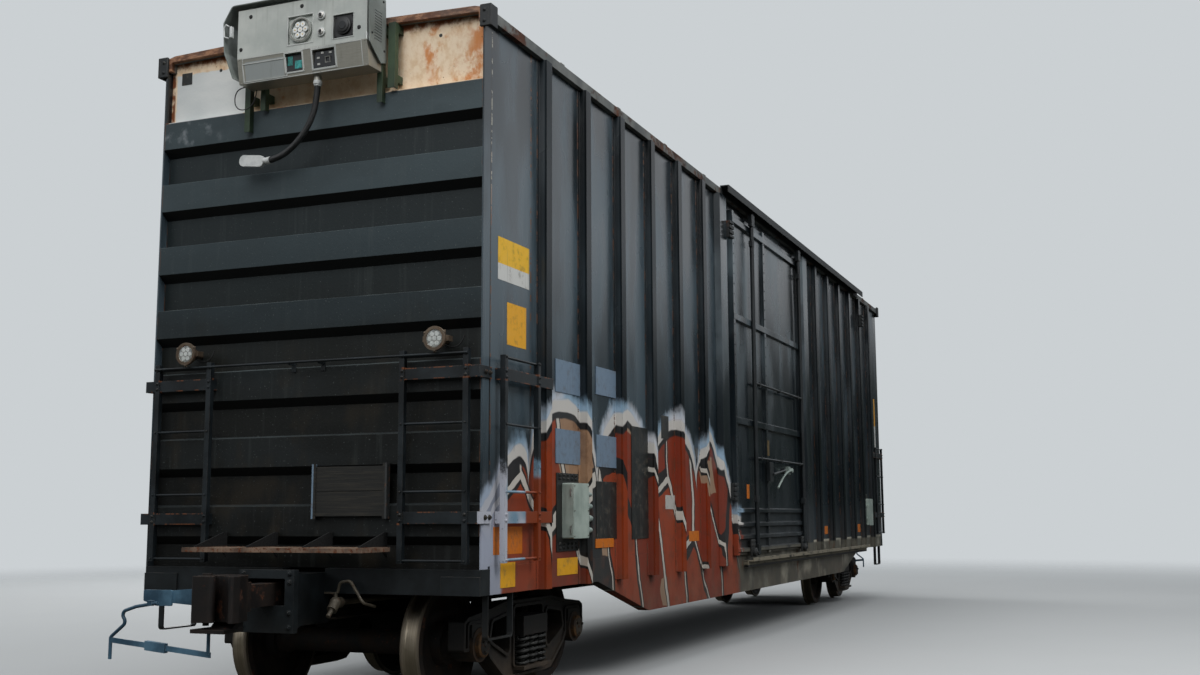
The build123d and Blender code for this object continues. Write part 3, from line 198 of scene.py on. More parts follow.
def mapped(vector, scale=(1, 1, 1), turn=(0, 0, 0), move=(0, 0, 0)):
    return addNode(treeOf(vector), "ShaderNodeMapping",
                   {"Vector": vector, "Scale": scale, "Rotation": turn, "Location": move})[0]


def split(vector):
    parts = addNode(treeOf(vector), "ShaderNodeSeparateXYZ", {0: vector})
    return parts[0], parts[1], parts[2]


def newGroup(name, inputs, outputs):
    tree = bpy.data.node_groups.new(name, "ShaderNodeTree")
    tree.interface.new_socket(name="Vector", in_out="INPUT", socket_type="NodeSocketVector")
    for label, value in inputs.items():
        made = tree.interface.new_socket(name=label, in_out="INPUT", socket_type="NodeSocketFloat")
        made.default_value = value
    for label, kind in outputs.items():
        tree.interface.new_socket(name=label, in_out="OUTPUT", socket_type="NodeSocket" + kind)
    return tree, Step(tree.nodes.new("NodeGroupInput"))


def closeGroup(tree, **outputs):
    ends = tree.nodes.new("NodeGroupOutput")
    for name, value in outputs.items():
        feed(ends.inputs[name], value)
    return tree


def useGroup(group, vector, **values):
    return addNode(treeOf(vector), "ShaderNodeGroup", {"Vector": vector, **values}, node_tree=group)


# Effects that several finishes share
def makeRustGroup():
    # Patches of rust. Cover is about the share that they take, Run stretches them downwards.
    tree, ins = newGroup("rustPatches", {"Scale": 2.0, "Cover": 0.4, "Run": 1.0},
                         {"Mask": "Float", "Colour": "Color", "Height": "Float"})
    squash = addNode(tree, "ShaderNodeCombineXYZ", {0: 1.0, 1: 1.0, 2: 1.0 / ins["Run"]})[0]
    vector = calcVector("MULTIPLY", ins["Vector"], squash)[0]
    large = noise(vector, ins["Scale"], 5.0, 0.6)
    fine = noise(vector, ins["Scale"] * 7.0, 4.0, 0.65)
    edge = 1.0 - ins["Cover"]
    mask = span(large * 0.74 + fine * 0.26, edge - 0.035, edge + 0.05)
    tone = noise(ins["Vector"], ins["Scale"] * 3.1, 6.0, 0.7)
    colour = grade(tone, [(0.32, (46, 28, 20)), (0.47, (92, 52, 32)), (0.6, (134, 76, 42)),
                          (0.74, (168, 108, 66))])
    return closeGroup(tree, Mask=mask, Colour=colour, Height=fine)


def makeStreakGroup():
    # Thin marks that rain leaves on an upright sheet.
    tree, ins = newGroup("rainMarks", {"Scale": 14.0, "Amount": 1.0}, {"Mask": "Float"})
    marks = noise(mapped(ins["Vector"], (1, 1, 0.05)), ins["Scale"], 3.0, 0.6)
    broken = noise(mapped(ins["Vector"], (1, 1, 0.4)), ins["Scale"] * 0.12, 2.0)
    return closeGroup(tree, Mask=span(marks, 0.52, 0.72) * span(broken, 0.4, 0.62) * ins["Amount"])


def makeWearGroup():
    # Where outer edges are rubbed, and a normal that rounds them.
    tree, ins = newGroup("edgeWear", {"Radius": 0.006, "Break": 9.0}, {"Mask": "Float", "Normal": "Vector"})
    rounded = addNode(tree, "ShaderNodeBevel", {"Radius": ins["Radius"]}, samples=4)[0]
    flat = addNode(tree, "ShaderNodeNewGeometry")["Normal"]
    edge = span(calcVector("DOT_PRODUCT", rounded, flat)["Value"], 0.995, 0.9)
    patchy = span(noise(ins["Vector"], ins["Break"], 5.0, 0.65), 0.42, 0.62)
    return closeGroup(tree, Mask=edge * patchy, Normal=rounded)


def makeDirtGroup():
    # Road dirt that fades with height, thick at Low and gone at High.
    tree, ins = newGroup("roadDirt", {"Low": 0.3, "High": 1.6}, {"Mask": "Float", "Colour": "Color"})
    fade = span(split(ins["Vector"])[2], ins["High"], ins["Low"])
    cloud = noise(mapped(ins["Vector"], (1, 1, 0.35)), 2.4, 6.0, 0.65)
    colour = grade(noise(ins["Vector"], 5.0, 5.0, 0.6), [(0.35, (46, 39, 33)), (0.65, (98, 84, 70))])
    return closeGroup(tree, Mask=fade * span(cloud + fade * 0.35, 0.42, 0.82), Colour=colour)


# The sprayed band: leaning blocks between pale outlines under a row of round humps.
# Its lengths are in metres, x and z from the car's corner.
sprayBand = {"reach": 6.3, "humpWidth": 1.37, "humpRise": 0.62, "shoulder": 1.72, "outline": 0.045,
             "glow": 0.16, "shift": 5.2, "blocks": 1.12, "chips": 3.0}


def cells(vector, scale, randomness, feature="F1", distance="EUCLIDEAN"):
    values = {"Vector": vector, "Scale": scale, "Randomness": randomness}
    return addNode(treeOf(vector), "ShaderNodeTexVoronoi", values, feature=feature, distance=distance,
                   voronoi_dimensions="2D")


def makeBandGroup():
    band = sprayBand
    tree, ins = newGroup("sprayedBand", {}, {"Colour": "Color", "Mask": "Float"})
    flat = mapped(ins["Vector"], move=(carBody["halfLength"], 0, -rail))
    wobble = addNode(tree, "ShaderNodeTexNoise", {"Vector": flat, "Scale": 2.2, "Detail": 3.0})
    shift = calcVector("SUBTRACT", wobble["Color"], (0.5, 0.5, 0.5))[0]
    shift = addNode(tree, "ShaderNodeVectorMath", {0: shift, "Scale": 0.16}, operation="SCALE")[0]
    u, _, v = split(calcVector("ADD", flat, shift)[0])
    swing = abs(calc("SINE", (u + 0.62) * (math.pi / band["humpWidth"])))
    hump = swing ** 0.45 * band["humpRise"]
    ends = span(u, -0.2, 0.95) * span(u, band["reach"], band["reach"] - 1.1)
    above = v - (ends * (hump + 0.35) + (band["shoulder"] - 0.35))
    # leaning blocks: cells with straight sides, seen in a skewed and stretched copy of the plane
    leaning = {0: u * 1.3 + v * 0.4, 1: v * 0.62 + band["shift"], 2: 0.0}
    lean = addNode(tree, "ShaderNodeCombineXYZ", leaning)[0]
    pick = addNode(tree, "ShaderNodeSeparateColor", {0: cells(lean, band["blocks"], 0.7)["Color"]})
    gap = cells(lean, band["blocks"], 0.7, "DISTANCE_TO_EDGE")["Distance"]
    fill = grade(pick[0], [(0.0, (132, 46, 18)), (0.4, (146, 58, 24)), (0.62, (158, 124, 96)),
                           (0.74, (120, 42, 17)), (0.92, (30, 33, 34))], "CONSTANT")
    fill = mixColour(span(noise(flat, 6.0, 6.0, 0.65), 0.45, 0.7, 0.0, 0.5), fill, (84, 50, 34))
    small = cells(lean, band["chips"], 1.0, distance="CHEBYCHEV")
    chosen = addNode(tree, "ShaderNodeSeparateColor", {0: small["Color"]})[1]
    fill = mixColour(span(chosen, 0.86, 0.87) * span(small["Distance"], 0.36, 0.33), fill, (160, 132, 108))
    fill = mixColour(span(gap, 0.066, 0.06), fill, (26, 25, 25))
    fill = mixColour(span(gap, 0.04, 0.034) * span(pick[2], 0.3, 0.34), fill, (202, 196, 186))
    # pale-blue and white rim over the humps, sprayed thin outwards
    fill = mixColour(inside(above, -0.15, -0.08, 0.01), fill, (28, 28, 29))
    fill = mixColour(inside(above, -0.04 - band["outline"], 0.02, 0.008), fill, (206, 202, 196))
    blue = grade(noise(flat, 1.6, 3.0), [(0.42, (150, 178, 200)), (0.6, (206, 208, 214))])
    fill = mixColour(span(above, 0.0, 0.03), fill, blue)
    fill = mixColour(span(u, 0.36, 0.3) * span(v, 1.2, 1.5, 1.0, 0.6), fill, (164, 170, 186))
    mist = (noise(mapped(flat, (1, 1, 0.5)), 5.0, 4.0, 0.7) - 0.5) * 0.3
    mask = span(above + mist, band["glow"], 0.02) * span(u + mist, band["reach"] + 0.12, band["reach"])
    return closeGroup(tree, Colour=fill, Mask=mask)


rustPatches = makeRustGroup()
rainMarks = makeStreakGroup()
edgeWear = makeWearGroup()
roadDirt = makeDirtGroup()
sprayedBand = makeBandGroup()
materials = {}


def startMaterial(name):
    # A new finish: its Principled shader, and the place of each point on the piece.
    made = bpy.data.materials.new(name)
    made.use_nodes = True
    materials[name] = made
    return made.node_tree.nodes["Principled BSDF"], addNode(made.node_tree, "ShaderNodeTexCoord")["Object"]


def upward(shader):
    # The upward part of the surface's normal, from -1 to 1.
    return split(addNode(shader.id_data, "ShaderNodeNewGeometry")["Normal"])[2]


def rained(colour, vector, scale, amount, mark):
    return mixColour(useGroup(rainMarks, vector, Scale=scale, Amount=amount)["Mask"], colour, mark)


def rubbed(colour, vector, radius, breaks, amount, worn):
    # The colour with worn edges, and the normal that rounds them.
    wear = useGroup(edgeWear, vector, Radius=radius, Break=breaks)
    return mixColour(wear["Mask"] * amount, colour, worn), wear["Normal"]


def finishShader(shader, colour, rough, height=None, normal=None, depth=0.002, strength=0.6, also=None):
    given = {"Base Color": colour, "Roughness": rough, **(also or {})}
    if normal is not None:
        given["Normal"] = normal
    if height is not None:
        bump = {"Height": height, "Distance": depth, "Strength": strength}
        if normal is not None:
            bump["Normal"] = normal
        given["Normal"] = addNode(shader.id_data, "ShaderNodeBump", bump)[0]
    for name, value in given.items():
        feed(shader.inputs[name], value)


# Body paint of the sides
def makeSidePaint(name, deep, slate, chalkAndReflectionColour, dent=11.0):
    shader, vector = startMaterial(name)
    x, y, z = split(vector)
    wide = noise(mapped(vector, (1, 1, 0.4)), 0.9, 4.0, 0.5)
    colour = mixColour(span(wide, 0.36, 0.66), deep, slate)
    # slanted chalky patches, paler towards the top: chalk, and a painted reflection of the sky in the gloss
    slant = noise(mapped(vector, (1.7, 1, 0.55), (0, 0.55, 0)), 1.5, 3.0, 0.5)
    haze = span(slant, 0.4, 0.74) * span(z + wide * 1.4, 2.9, 4.6, 0.06, 0.85)
    colour = mixColour(haze, colour, chalkAndReflectionColour)
    # paler slanted patches towards the sensor end: chalk and painted reflection
    pale = span(x, -1.9, -4.4) * span(slant, 0.36, 0.6, 0.25, 0.75)
    colour = mixColour(pale * inside(z, 1.9, 4.3, 0.5), colour, chalkAndReflectionColour)
    colour = rained(colour, vector, 16.0, 0.16, (108, 114, 116))
    # posts on both halves: darker faces, painted shade on the panel beside each post, and rust along their
    # welds
    away = abs(x)
    half = carBody["postPitch"] / 2
    offPost = abs((away - carBody["lastPost"] + half) % carBody["postPitch"] - half)
    onPost = span(offPost, 0.075, 0.06) * span(abs(y), 1.5, 1.515)
    colour = mixColour(onPost * 0.85, colour, (9, 13, 15))
    # painted shade on the panel beside each post
    shade = inside(offPost, 0.05, 0.1, 0.012) * span(abs(y), 1.519, 1.5)
    outer = inside(away, 2.55, 7.0, 0.01)
    colour = mixColour(shade * outer * 0.8, colour, (10, 12, 13))
    dashes = span(noise(mapped(vector, (2, 2, 9)), 1.6, 5.0, 0.7), 0.5, 0.56)
    weldRust = inside(offPost, 0.084, 0.096, 0.003) * dashes * outer
    # lap seam beside the corner: a black line with worn paint and rust in dashes
    colour = mixColour(inside(away, 7.616, 7.634, 0.002), colour, (12, 13, 13))
    seamWear = mixColour(span(slant, 0.45, 0.55), (150, 146, 134), (104, 66, 44))
    colour = mixColour(inside(away, 7.606, 7.622, 0.003) * dashes, colour, seamWear)
    colour = mixColour(inside(away, 6.93, 6.952, 0.003) * dashes, colour, (96, 66, 46))
    sill = span(z, 1.07, 1.04) * span(noise(vector, 2.0, 5.0), 0.3, 0.5)
    colour = mixColour(sill, colour, (92, 90, 80))
    rough = span(slant, 0.4, 0.7, 0.2, 0.34) + span(z, 1.9, 0.9, 0.0, 0.3)
    band = useGroup(sprayedBand, vector)
    near = band["Mask"] * (y < 0.0)
    colour = mixColour(near, colour, band["Colour"])
    rough = rough + near * 0.2
    colour = mixColour(weldRust, colour, (92, 58, 38))
    patches = useGroup(rustPatches, vector, Scale=3.0, Cover=0.36, Run=2.5)
    rust = patches["Mask"] * span(z, 1.5, 0.7, 0.08, 0.9)
    colour = mixColour(rust, colour, patches["Colour"])
    colour, normal = rubbed(colour, vector, 0.006, 5.0, 0.35, (92, 92, 88))
    dirt = useGroup(roadDirt, vector, Low=0.45, High=1.5)
    colour = mixColour(dirt["Mask"] * 0.4, colour, dirt["Colour"])
    rough = calc("ADD", rough, rust * 0.35, clamp=True)
    dents = noise(mapped(vector, (1.1, 1, 0.4), (0, 0.5, 0)), 1.3, 1.0, 0.3)
    fine = noise(vector, 90.0, 3.0, 0.6)
    grain = dents * dent + (fine * 0.12 + patches["Height"] * rust)
    finishShader(shader, colour, rough, grain, normal, 0.004, 0.6,
                 {"Specular IOR Level": span(onPost, 0.0, 1.0, 0.5, 0.1)})


makeSidePaint("sidePaint", (18, 25, 29), (34, 44, 50), (78, 93, 102))
makeSidePaint("sillPaint", (150, 149, 136), (192, 186, 168), (206, 200, 184))
makeSidePaint("framePaint", (14, 20, 23), (26, 34, 39), (106, 119, 126), 20.0)


# Paint of the ribbed ends, bare steel above the first rib
def makeEndPaint():
    shader, vector = startMaterial("endPaint")
    x, y, z = split(vector)
    wide = noise(mapped(vector, (1, 0.6, 1.4)), 1.3, 5.0, 0.6)
    height = z + (wide - 0.5) * 1.1
    rise = span(height, 1.2, 4.7)
    face = grade(rise, [(0.0, (12, 13, 11)), (0.3, (19, 22, 21)), (0.55, (40, 50, 54)), (0.95, (66, 78, 82))])
    colour = mixColour(span(wide, 0.38, 0.66, 0.0, 0.35), face, (30, 36, 38))
    # painted shade: the recessed panels between the ribs are darker than the rib faces
    shadedHollow = grade(rise, [(0.0, (10, 11, 9)), (0.35, (18, 20, 17)), (0.6, (26, 33, 34)),
                          (0.95, (30, 38, 40))])
    colour = mixColour(span(abs(x), 7.73, 7.7), colour, shadedHollow)
    lower = span(height, 3.2, 2.1)
    sooty = noise(mapped(vector, (1, 1, 0.6)), 2.6, 5.0, 0.6)
    colour = mixColour(lower * span(sooty, 0.5, 0.68, 0.0, 0.5), colour, (44, 37, 26))
    colour = rained(colour, vector, 22.0, 0.1, (96, 102, 100))
    flecks = span(noise(vector, 70.0, 2.0, 0.5), 0.68, 0.74, 0.0, 0.4)
    colour = mixColour(flecks, colour, (112, 118, 116))
    colour, normal = rubbed(colour, vector, 0.007, 3.0, span(height, 1.6, 3.4, 0.2, 0.75), (96, 106, 106))
    lowRust = useGroup(rustPatches, vector, Scale=4.5, Cover=0.3, Run=1.5)
    colour = mixColour(lowRust["Mask"] * (lower * 0.25 + 0.04), colour, lowRust["Colour"])
    # rust along both upright edges of the end
    rim = span(abs(y), 1.435, 1.445) * span(noise(mapped(vector, (1, 1, 0.5)), 6.0, 5.0, 0.7), 0.48, 0.56)
    colour = mixColour(rim * 0.8, colour, (104, 66, 42))
    facing = upward(shader)
    # painted shade on the faces that look down, under the ribs
    colour = mixColour(span(facing, -0.1, -0.5), colour, (8, 9, 9))
    # painted highlight on the faces that look up, the ribs' top ledges
    litLedges = span(facing, 0.35, 0.8, 0.0, 0.7) * span(height, 1.6, 3.2, 0.3, 1.0)
    colour = mixColour(litLedges, colour, (92, 102, 104))
    # bare cream steel with rust above the first rib, and a plain white block at one side
    bare = span(z, 4.598, 4.606)
    stain = useGroup(rustPatches, vector, Scale=1.9, Cover=0.42, Run=1.3)
    cream = mixColour(span(stain["Height"], 0.4, 0.66), (242, 220, 192), (228, 198, 162))
    runs = noise(mapped(vector, (1, 1, 0.22)), 5.0, 4.0, 0.6)
    cream = mixColour(stain["Mask"] * span(runs, 0.4, 0.56, 0.1, 0.85), cream, (208, 122, 50))
    spots = noise(mapped(vector, (1, 1, 0.7)), 11.0, 6.0, 0.75)
    cream = mixColour(span(spots, 0.66, 0.74, 0.0, 0.7), cream, (160, 92, 44))
    speck = noise(vector, 34.0, 4.0, 0.7)
    cream = mixColour(span(speck, 0.66, 0.74), cream, (110, 66, 38))
    edgeRust = span(z + stain["Height"] * 0.16, 5.145, 5.2)
    cream = mixColour(edgeRust, cream, (146, 84, 50))
    turned = y * (calc("SIGN", x) * -1.0)
    ragged = (noise(vector, 9.0, 4.0) - 0.5) * 0.05
    block = inside(turned + ragged, 0.68, 1.4, 0.006) * inside(z + ragged, 4.58, 5.02, 0.006)
    cream = mixColour(block, cream, mixColour(span(wide, 0.4, 0.7), (208, 212, 211), (232, 233, 230)))
    side = span(turned, 1.405, 1.42) * span(noise(vector, 8.0, 5.0), 0.4, 0.55)
    cream = mixColour(side, cream, (128, 74, 44))
    colour = mixColour(bare, colour, cream)
    bloom = inside(z, 4.4, 4.6, 0.03) * span(turned, 0.7, 1.2)
    bloom = bloom * span(noise(vector, 7.0, 4.0), 0.5, 0.7, 0.0, 0.6)
    colour = mixColour(bloom, colour, (150, 156, 160))
    rough = span(wide, 0.35, 0.65, 0.4, 0.56) + bare * 0.2
    grain = noise(vector, 1.4, 2.0) * 5.0 + noise(vector, 60.0, 3.0)
    finishShader(shader, colour, rough, grain, normal, 0.003, 0.3, {"Specular IOR Level": 0.28})


makeEndPaint()


# One recipe for worn painted or bare steel, with its own colours for each use
def makeSteel(name, base, light, cover, scale, rough, worn, wornWidth, dirtHigh, grain, deep=0.0, metal=0.0,
              specular=0.4, dust=0.0, lip=False, pale=None, fresh=None):
    shader, vector = startMaterial(name)
    tone = noise(vector, 3.2, 6.0, 0.62)
    colour = mixColour(span(tone, 0.35, 0.68), base, light)
    patches = useGroup(rustPatches, vector, Scale=scale, Cover=cover)
    rustColour = mixColour(deep, patches["Colour"], (26, 18, 14)) if deep else patches["Colour"]
    colour = mixColour(patches["Mask"], colour, rustColour)
    colour, normal = rubbed(colour, vector, wornWidth, 8.0, 0.8, worn)
    dirt = useGroup(roadDirt, vector, Low=0.1, High=dirtHigh)
    colour = mixColour(dirt["Mask"] * 0.6, colour, dirt["Colour"])
    if dust:
        settled = span(upward(shader), 0.5, 0.9) * span(noise(vector, 9.0, 5.0), 0.35, 0.6, 0.3, 1.0)
        colour = mixColour(settled * dust, colour, (132, 120, 104))
    if lip:
        # the lip over each end is brown with rust
        browned = span(abs(split(vector)[0]), 7.69, 7.71) * span(tone, 0.36, 0.5, 0.7, 1.0)
        cloud = noise(mapped(vector, (1, 1, 3)), 9.0, 5.0, 0.7)
        colour = mixColour(browned, colour, mixColour(span(cloud, 0.4, 0.62), (96, 62, 44), (166, 122, 92)))
    if pale:
        # levels at which old cream paint still shows through
        flakes = span(noise(mapped(vector, (0.5, 1, 2)), 7.0, 6.0, 0.7), 0.36, 0.5)
        colour = mixColour(inside(split(vector)[2], *pale, 0.004) * flakes * 0.85, colour, (142, 134, 116))
    if fresh:
        # levels between which the steel keeps this finish; below and above them it is black
        colour = mixColour(inside(split(vector)[2], *fresh, 0.002), (20, 20, 20), colour)
    roughness = span(patches["Mask"] + tone, 0.3, 1.3, rough, min(rough + 0.3, 0.95))
    height = noise(vector, grain, 4.0, 0.6) + patches["Mask"] * 0.6
    finishShader(shader, colour, roughness, height, normal, 0.0015, 0.45,
                 {"Metallic": metal, "Specular IOR Level": specular})


# name, dark and light tone, rust's share and scale, roughness, worn edges and their width,
# height of the road dirt, grain, how dark the rust is, and what sets the finish apart
steels = [
    ("roofSteel", (70, 74, 73), (112, 114, 111), 0.44, 2.2, 0.55, (120, 100, 84), 0.006, 0.1, 30, 0.6,
     {"lip": True}),
    ("trackSteel", (18, 21, 22), (38, 41, 42), 0.36, 3.0, 0.55, (92, 88, 80), 0.004, 1.4, 40, 0.5,
     {"pale": (0.868, 0.953)}),
    ("blackSteel", (13, 17, 19), (27, 33, 36), 0.27, 7.0, 0.42, (84, 78, 70), 0.003, 0.9, 40, 0.3, {}),
    ("pipeSteel", (44, 40, 36), (104, 96, 82), 0.38, 16.0, 0.42, (170, 160, 138), 0.003, 0.6, 40, 0.3,
     {"metal": 0.3}),
    ("underSteel", (12, 12, 11), (24, 22, 20), 0.38, 3.5, 0.8, (52, 40, 32), 0.004, 1.2, 40, 0.6,
     {"specular": 0.2}),
    ("floorSteel", (40, 34, 29), (62, 52, 44), 0.4, 3.0, 0.75, (90, 74, 60), 0.003, 0.2, 40, 0.4, {}),
    ("rustyCasting", (15, 12, 11), (34, 25, 20), 0.4, 9.0, 0.6, (96, 72, 52), 0.006, 0.4, 55, 0.55,
     {"specular": 0.3}),
    ("truckCasting", (12, 12, 12), (26, 24, 22), 0.34, 8.0, 0.55, (70, 60, 50), 0.006, 0.7, 60, 0.5,
     {"specular": 0.35}),
    ("springSteel", (22, 22, 22), (44, 44, 42), 0.3, 14.0, 0.34, (160, 160, 154), 0.005, 0.2, 60, 0.4,
     {"metal": 0.35}),
    ("platformSteel", (74, 58, 48), (146, 120, 100), 0.46, 30.0, 0.7, (176, 156, 132), 0.002, 0.2, 130, 0.2,
     {"dust": 0.3, "fresh": (1.186, 1.223)}),
    ("leverPaint", (40, 66, 84), (84, 120, 142), 0.27, 12.0, 0.45, (150, 168, 176), 0.003, 0.2, 60, 0.0, {}),
    ("bracketGreen", (34, 48, 34), (60, 78, 56), 0.27, 9.0, 0.5, (110, 116, 100), 0.002, 0.2, 60, 0.0, {}),
    ("boxGrey", (128, 142, 136), (156, 168, 161), 0.2, 8.0, 0.45, (186, 190, 184), 0.003, 0.3, 50, 0.0, {}),
    ("boltSteel", (36, 34, 32), (72, 66, 58), 0.4, 30.0, 0.45, (130, 118, 102), 0.002, 0.2, 90, 0.4,
     {"metal": 0.4}),
    ("valveBrass", (110, 90, 58), (152, 128, 86), 0.27, 30.0, 0.35, (190, 168, 120), 0.002, 0.1, 60, 0.0,
     {"metal": 0.8}),
    ("hoodGrey", (96, 102, 98), (128, 134, 130), 0.2, 6.0, 0.5, (168, 172, 166), 0.003, 0.3, 120, 0.0, {}),
    ("platePale", (176, 180, 176), (204, 206, 202), 0.2, 9.0, 0.5, (214, 214, 210), 0.002, 0.3, 160, 0.0, {}),
    ("lampRim", (104, 88, 72), (150, 134, 116), 0.42, 26.0, 0.4, (186, 178, 164), 0.003, 0.0, 60, 0.1,
     {"metal": 0.5}),
]
for *row, extras in steels:
    makeSteel(*row, **extras)


# Ladder paint: black steel with old overspray low down beside the nearer corner
ladderStraps = ((1.3825, 1.4675), (2.4075, 2.4925))


def makeLadderPaint():
    shader, vector = startMaterial("ladderPaint")
    x, y, z = split(vector)
    tone = noise(vector, 3.2, 6.0, 0.62)
    colour = mixColour(span(tone, 0.35, 0.68), (14, 18, 20), (30, 37, 41))
    patches = useGroup(rustPatches, vector, Scale=7.0, Cover=0.26, Run=1.0)
    colour = mixColour(patches["Mask"], colour, patches["Colour"])
    # rust along the straps' upper and lower edges
    frayed = span(noise(mapped(vector, (2, 2, 0.5)), 5.0, 5.0, 0.7), 0.5, 0.58)
    for low, high in ladderStraps:
        for level in (low, high):
            edge = inside(z, level - 0.007, level + 0.007, 0.003)
            colour = mixColour(edge * frayed * 0.85, colour, (122, 72, 42))
    reach = z + (noise(vector, 5.0, 5.0, 0.7) - 0.5) * 0.5
    spray = span(reach, 1.86, 1.74) * ((y < -1.46) * span(x, -6.7, -6.72))
    hue = mixColour(span(noise(vector, 2.5, 2.0), 0.42, 0.56), (118, 148, 168), (186, 188, 198))
    hue = mixColour(span(x, -7.2, -7.16) * span(z, 1.75, 1.7), hue, (132, 58, 28))
    chipped = span(noise(vector, 30.0, 5.0, 0.7), 0.33, 0.38)
    colour = mixColour(spray * chipped, colour, hue)
    colour, normal = rubbed(colour, vector, 0.003, 8.0, 0.7, (92, 84, 74))
    rough = span(tone, 0.3, 0.7, 0.34, 0.5)
    finishShader(shader, colour, rough, noise(vector, 70.0, 3.0), normal, 0.001, 0.4,
                 {"Specular IOR Level": 0.4})


makeLadderPaint()


# Wheels: bright tread and flange, dull rusty plates, greasy axle. The radius is worked out about each axle.
def makeWheelSteel():
    shader, vector = startMaterial("wheelSteel")
    x, y, z = split(vector)
    about = abs(abs(x) - carBody["truckX"]) - carBody["halfBase"]
    up = z - carBody["axleHeight"]
    radius = calc("SQRT", about * about + up * up)
    across = abs(y)
    tone = noise(vector, 7.0, 6.0, 0.65)
    colour = mixColour(span(tone, 0.35, 0.68), (20, 17, 15), (46, 35, 27))
    patches = useGroup(rustPatches, vector, Scale=9.0, Cover=0.38, Run=1.0)
    colour = mixColour(patches["Mask"], colour, mixColour(0.5, patches["Colour"], (26, 18, 14)))
    cap = span(across, 1.09, 1.095)
    colour = mixColour(cap, colour, mixColour(span(tone, 0.4, 0.6), (46, 34, 24), (98, 70, 42)))
    cup = inside(across, 0.9, 1.09, 0.004) * span(radius, 0.2, 0.19)
    colour = mixColour(cup, colour, mixColour(span(tone, 0.4, 0.65), (30, 27, 24), (66, 52, 40)))
    tread = span(radius, 0.445, 0.449)
    rings = noise(mapped(vector, (0.3, 60, 0.3)), 3.0, 3.0, 0.6)
    bright = mixColour(rings, (120, 104, 84), (204, 192, 172))
    worn = inside(across, 0.7, 0.8, 0.012)
    colour = mixColour(tread * (worn * 0.6 + 0.4), colour, bright)
    metal = tread * span(worn, 0.0, 1.0, 0.55, 1.0)
    rough = span(tone, 0.3, 0.7, 0.68, 0.9) - metal * 0.42
    finishShader(shader, colour, rough, noise(vector, 60.0, 4.0) + rings * metal, None, 0.0012, 0.4,
                 {"Metallic": metal, "Specular IOR Level": 0.4})


makeWheelSteel()


# Sensor unit
def makeSensorCase():
    shader, vector = startMaterial("sensorCase")
    _, y, z = split(vector)
    cloud = noise(vector, 3.0, 5.0, 0.6)
    colour = mixColour(span(cloud, 0.35, 0.7), (170, 175, 170), (192, 195, 189))
    brushed = noise(mapped(vector, (30, 1.5, 30)), 8.0, 3.0)
    slopeZone = span(z, 4.945, 4.93)
    colour = mixColour(slopeZone, colour, mixColour(brushed, (150, 148, 138), (186, 182, 170)))
    cover = inside(y, 0.13, 0.485, 0.002) * inside(z, 4.765, 4.905, 0.002) * slopeZone
    colour = mixColour(cover, colour, (182, 187, 185))
    colour = rained(colour, vector, 30.0, 0.35, (128, 128, 118))
    colour, normal = rubbed(colour, vector, 0.003, 20.0, 0.5, (212, 212, 206))
    rough = 0.5 - slopeZone * 0.14
    grain = noise(vector, 260.0, 2.0) + brushed * slopeZone
    finishShader(shader, colour, rough, grain, normal, 0.0004, 0.35, {"Metallic": slopeZone * 0.5})


makeSensorCase()


# Junction box: pale grey-green lid and sides on a black back plate
def makeBoxPaint():
    shader, vector = startMaterial("boxPaint")
    y = split(vector)[1]
    tone = noise(vector, 5.0, 6.0, 0.62)
    colour = mixColour(span(tone, 0.35, 0.68), (144, 158, 150), (172, 184, 175))
    colour = rained(colour, vector, 40.0, 0.4, (96, 98, 90))
    plate = span(abs(y), 1.4665, 1.4655)
    colour = mixColour(plate, colour, mixColour(span(tone, 0.45, 0.6), (16, 17, 17), (34, 34, 32)))
    colour, normal = rubbed(colour, vector, 0.004, 14.0, 0.6, (112, 106, 96))
    rough = span(tone, 0.3, 0.7, 0.4, 0.55)
    finishShader(shader, colour, rough, noise(vector, 60.0, 3.0), normal, 0.001, 0.3)


makeBoxPaint()


# Rubber, plastic, glass, wood and blank labels
def makePlain(name, base, light, rough, scale=12.0, metal=0.0):
    shader, vector = startMaterial(name)
    tone = noise(vector, scale, 5.0, 0.6)
    colour = mixColour(span(tone, 0.34, 0.68), base, light)
    roughness = span(tone, 0.3, 0.7, rough, min(rough + 0.12, 1.0))
    finishShader(shader, colour, roughness, noise(vector, 200.0, 3.0), None, 0.0005, 0.4, {"Metallic": metal})


makePlain("hoseRubber", (16, 17, 18), (34, 35, 36), 0.5)
makePlain("whitePlastic", (190, 194, 192), (212, 214, 212), 0.38)
makePlain("lampMetal", (120, 118, 112), (164, 162, 154), 0.32, 20.0, 0.85)
makePlain("lampReflector", (214, 214, 210), (236, 236, 232), 0.3, 20.0, 0.4)
makePlain("darkGlass", (8, 9, 11), (16, 18, 20), 0.08, 6.0)
makePlain("tealBoard", (18, 92, 84), (60, 168, 164), 0.3, 30.0)
makePlain("cableBlack", (10, 10, 11), (22, 22, 22), 0.42)
makePlain("rubberBlock", (22, 23, 24), (40, 40, 40), 0.7)
makePlain("silverPin", (150, 148, 142), (190, 188, 182), 0.3, 30.0, 0.9)


def makeLensGlass():
    shader, vector = startMaterial("lampLens")
    ripples = addNode(shader.id_data, "ShaderNodeTexVoronoi", {"Vector": vector, "Scale": 60.0})["Distance"]
    clear = {"Transmission Weight": 0.9, "IOR": 1.45}
    finishShader(shader, (246, 248, 247), 0.04, ripples, None, 0.001, 0.4, clear)


makeLensGlass()


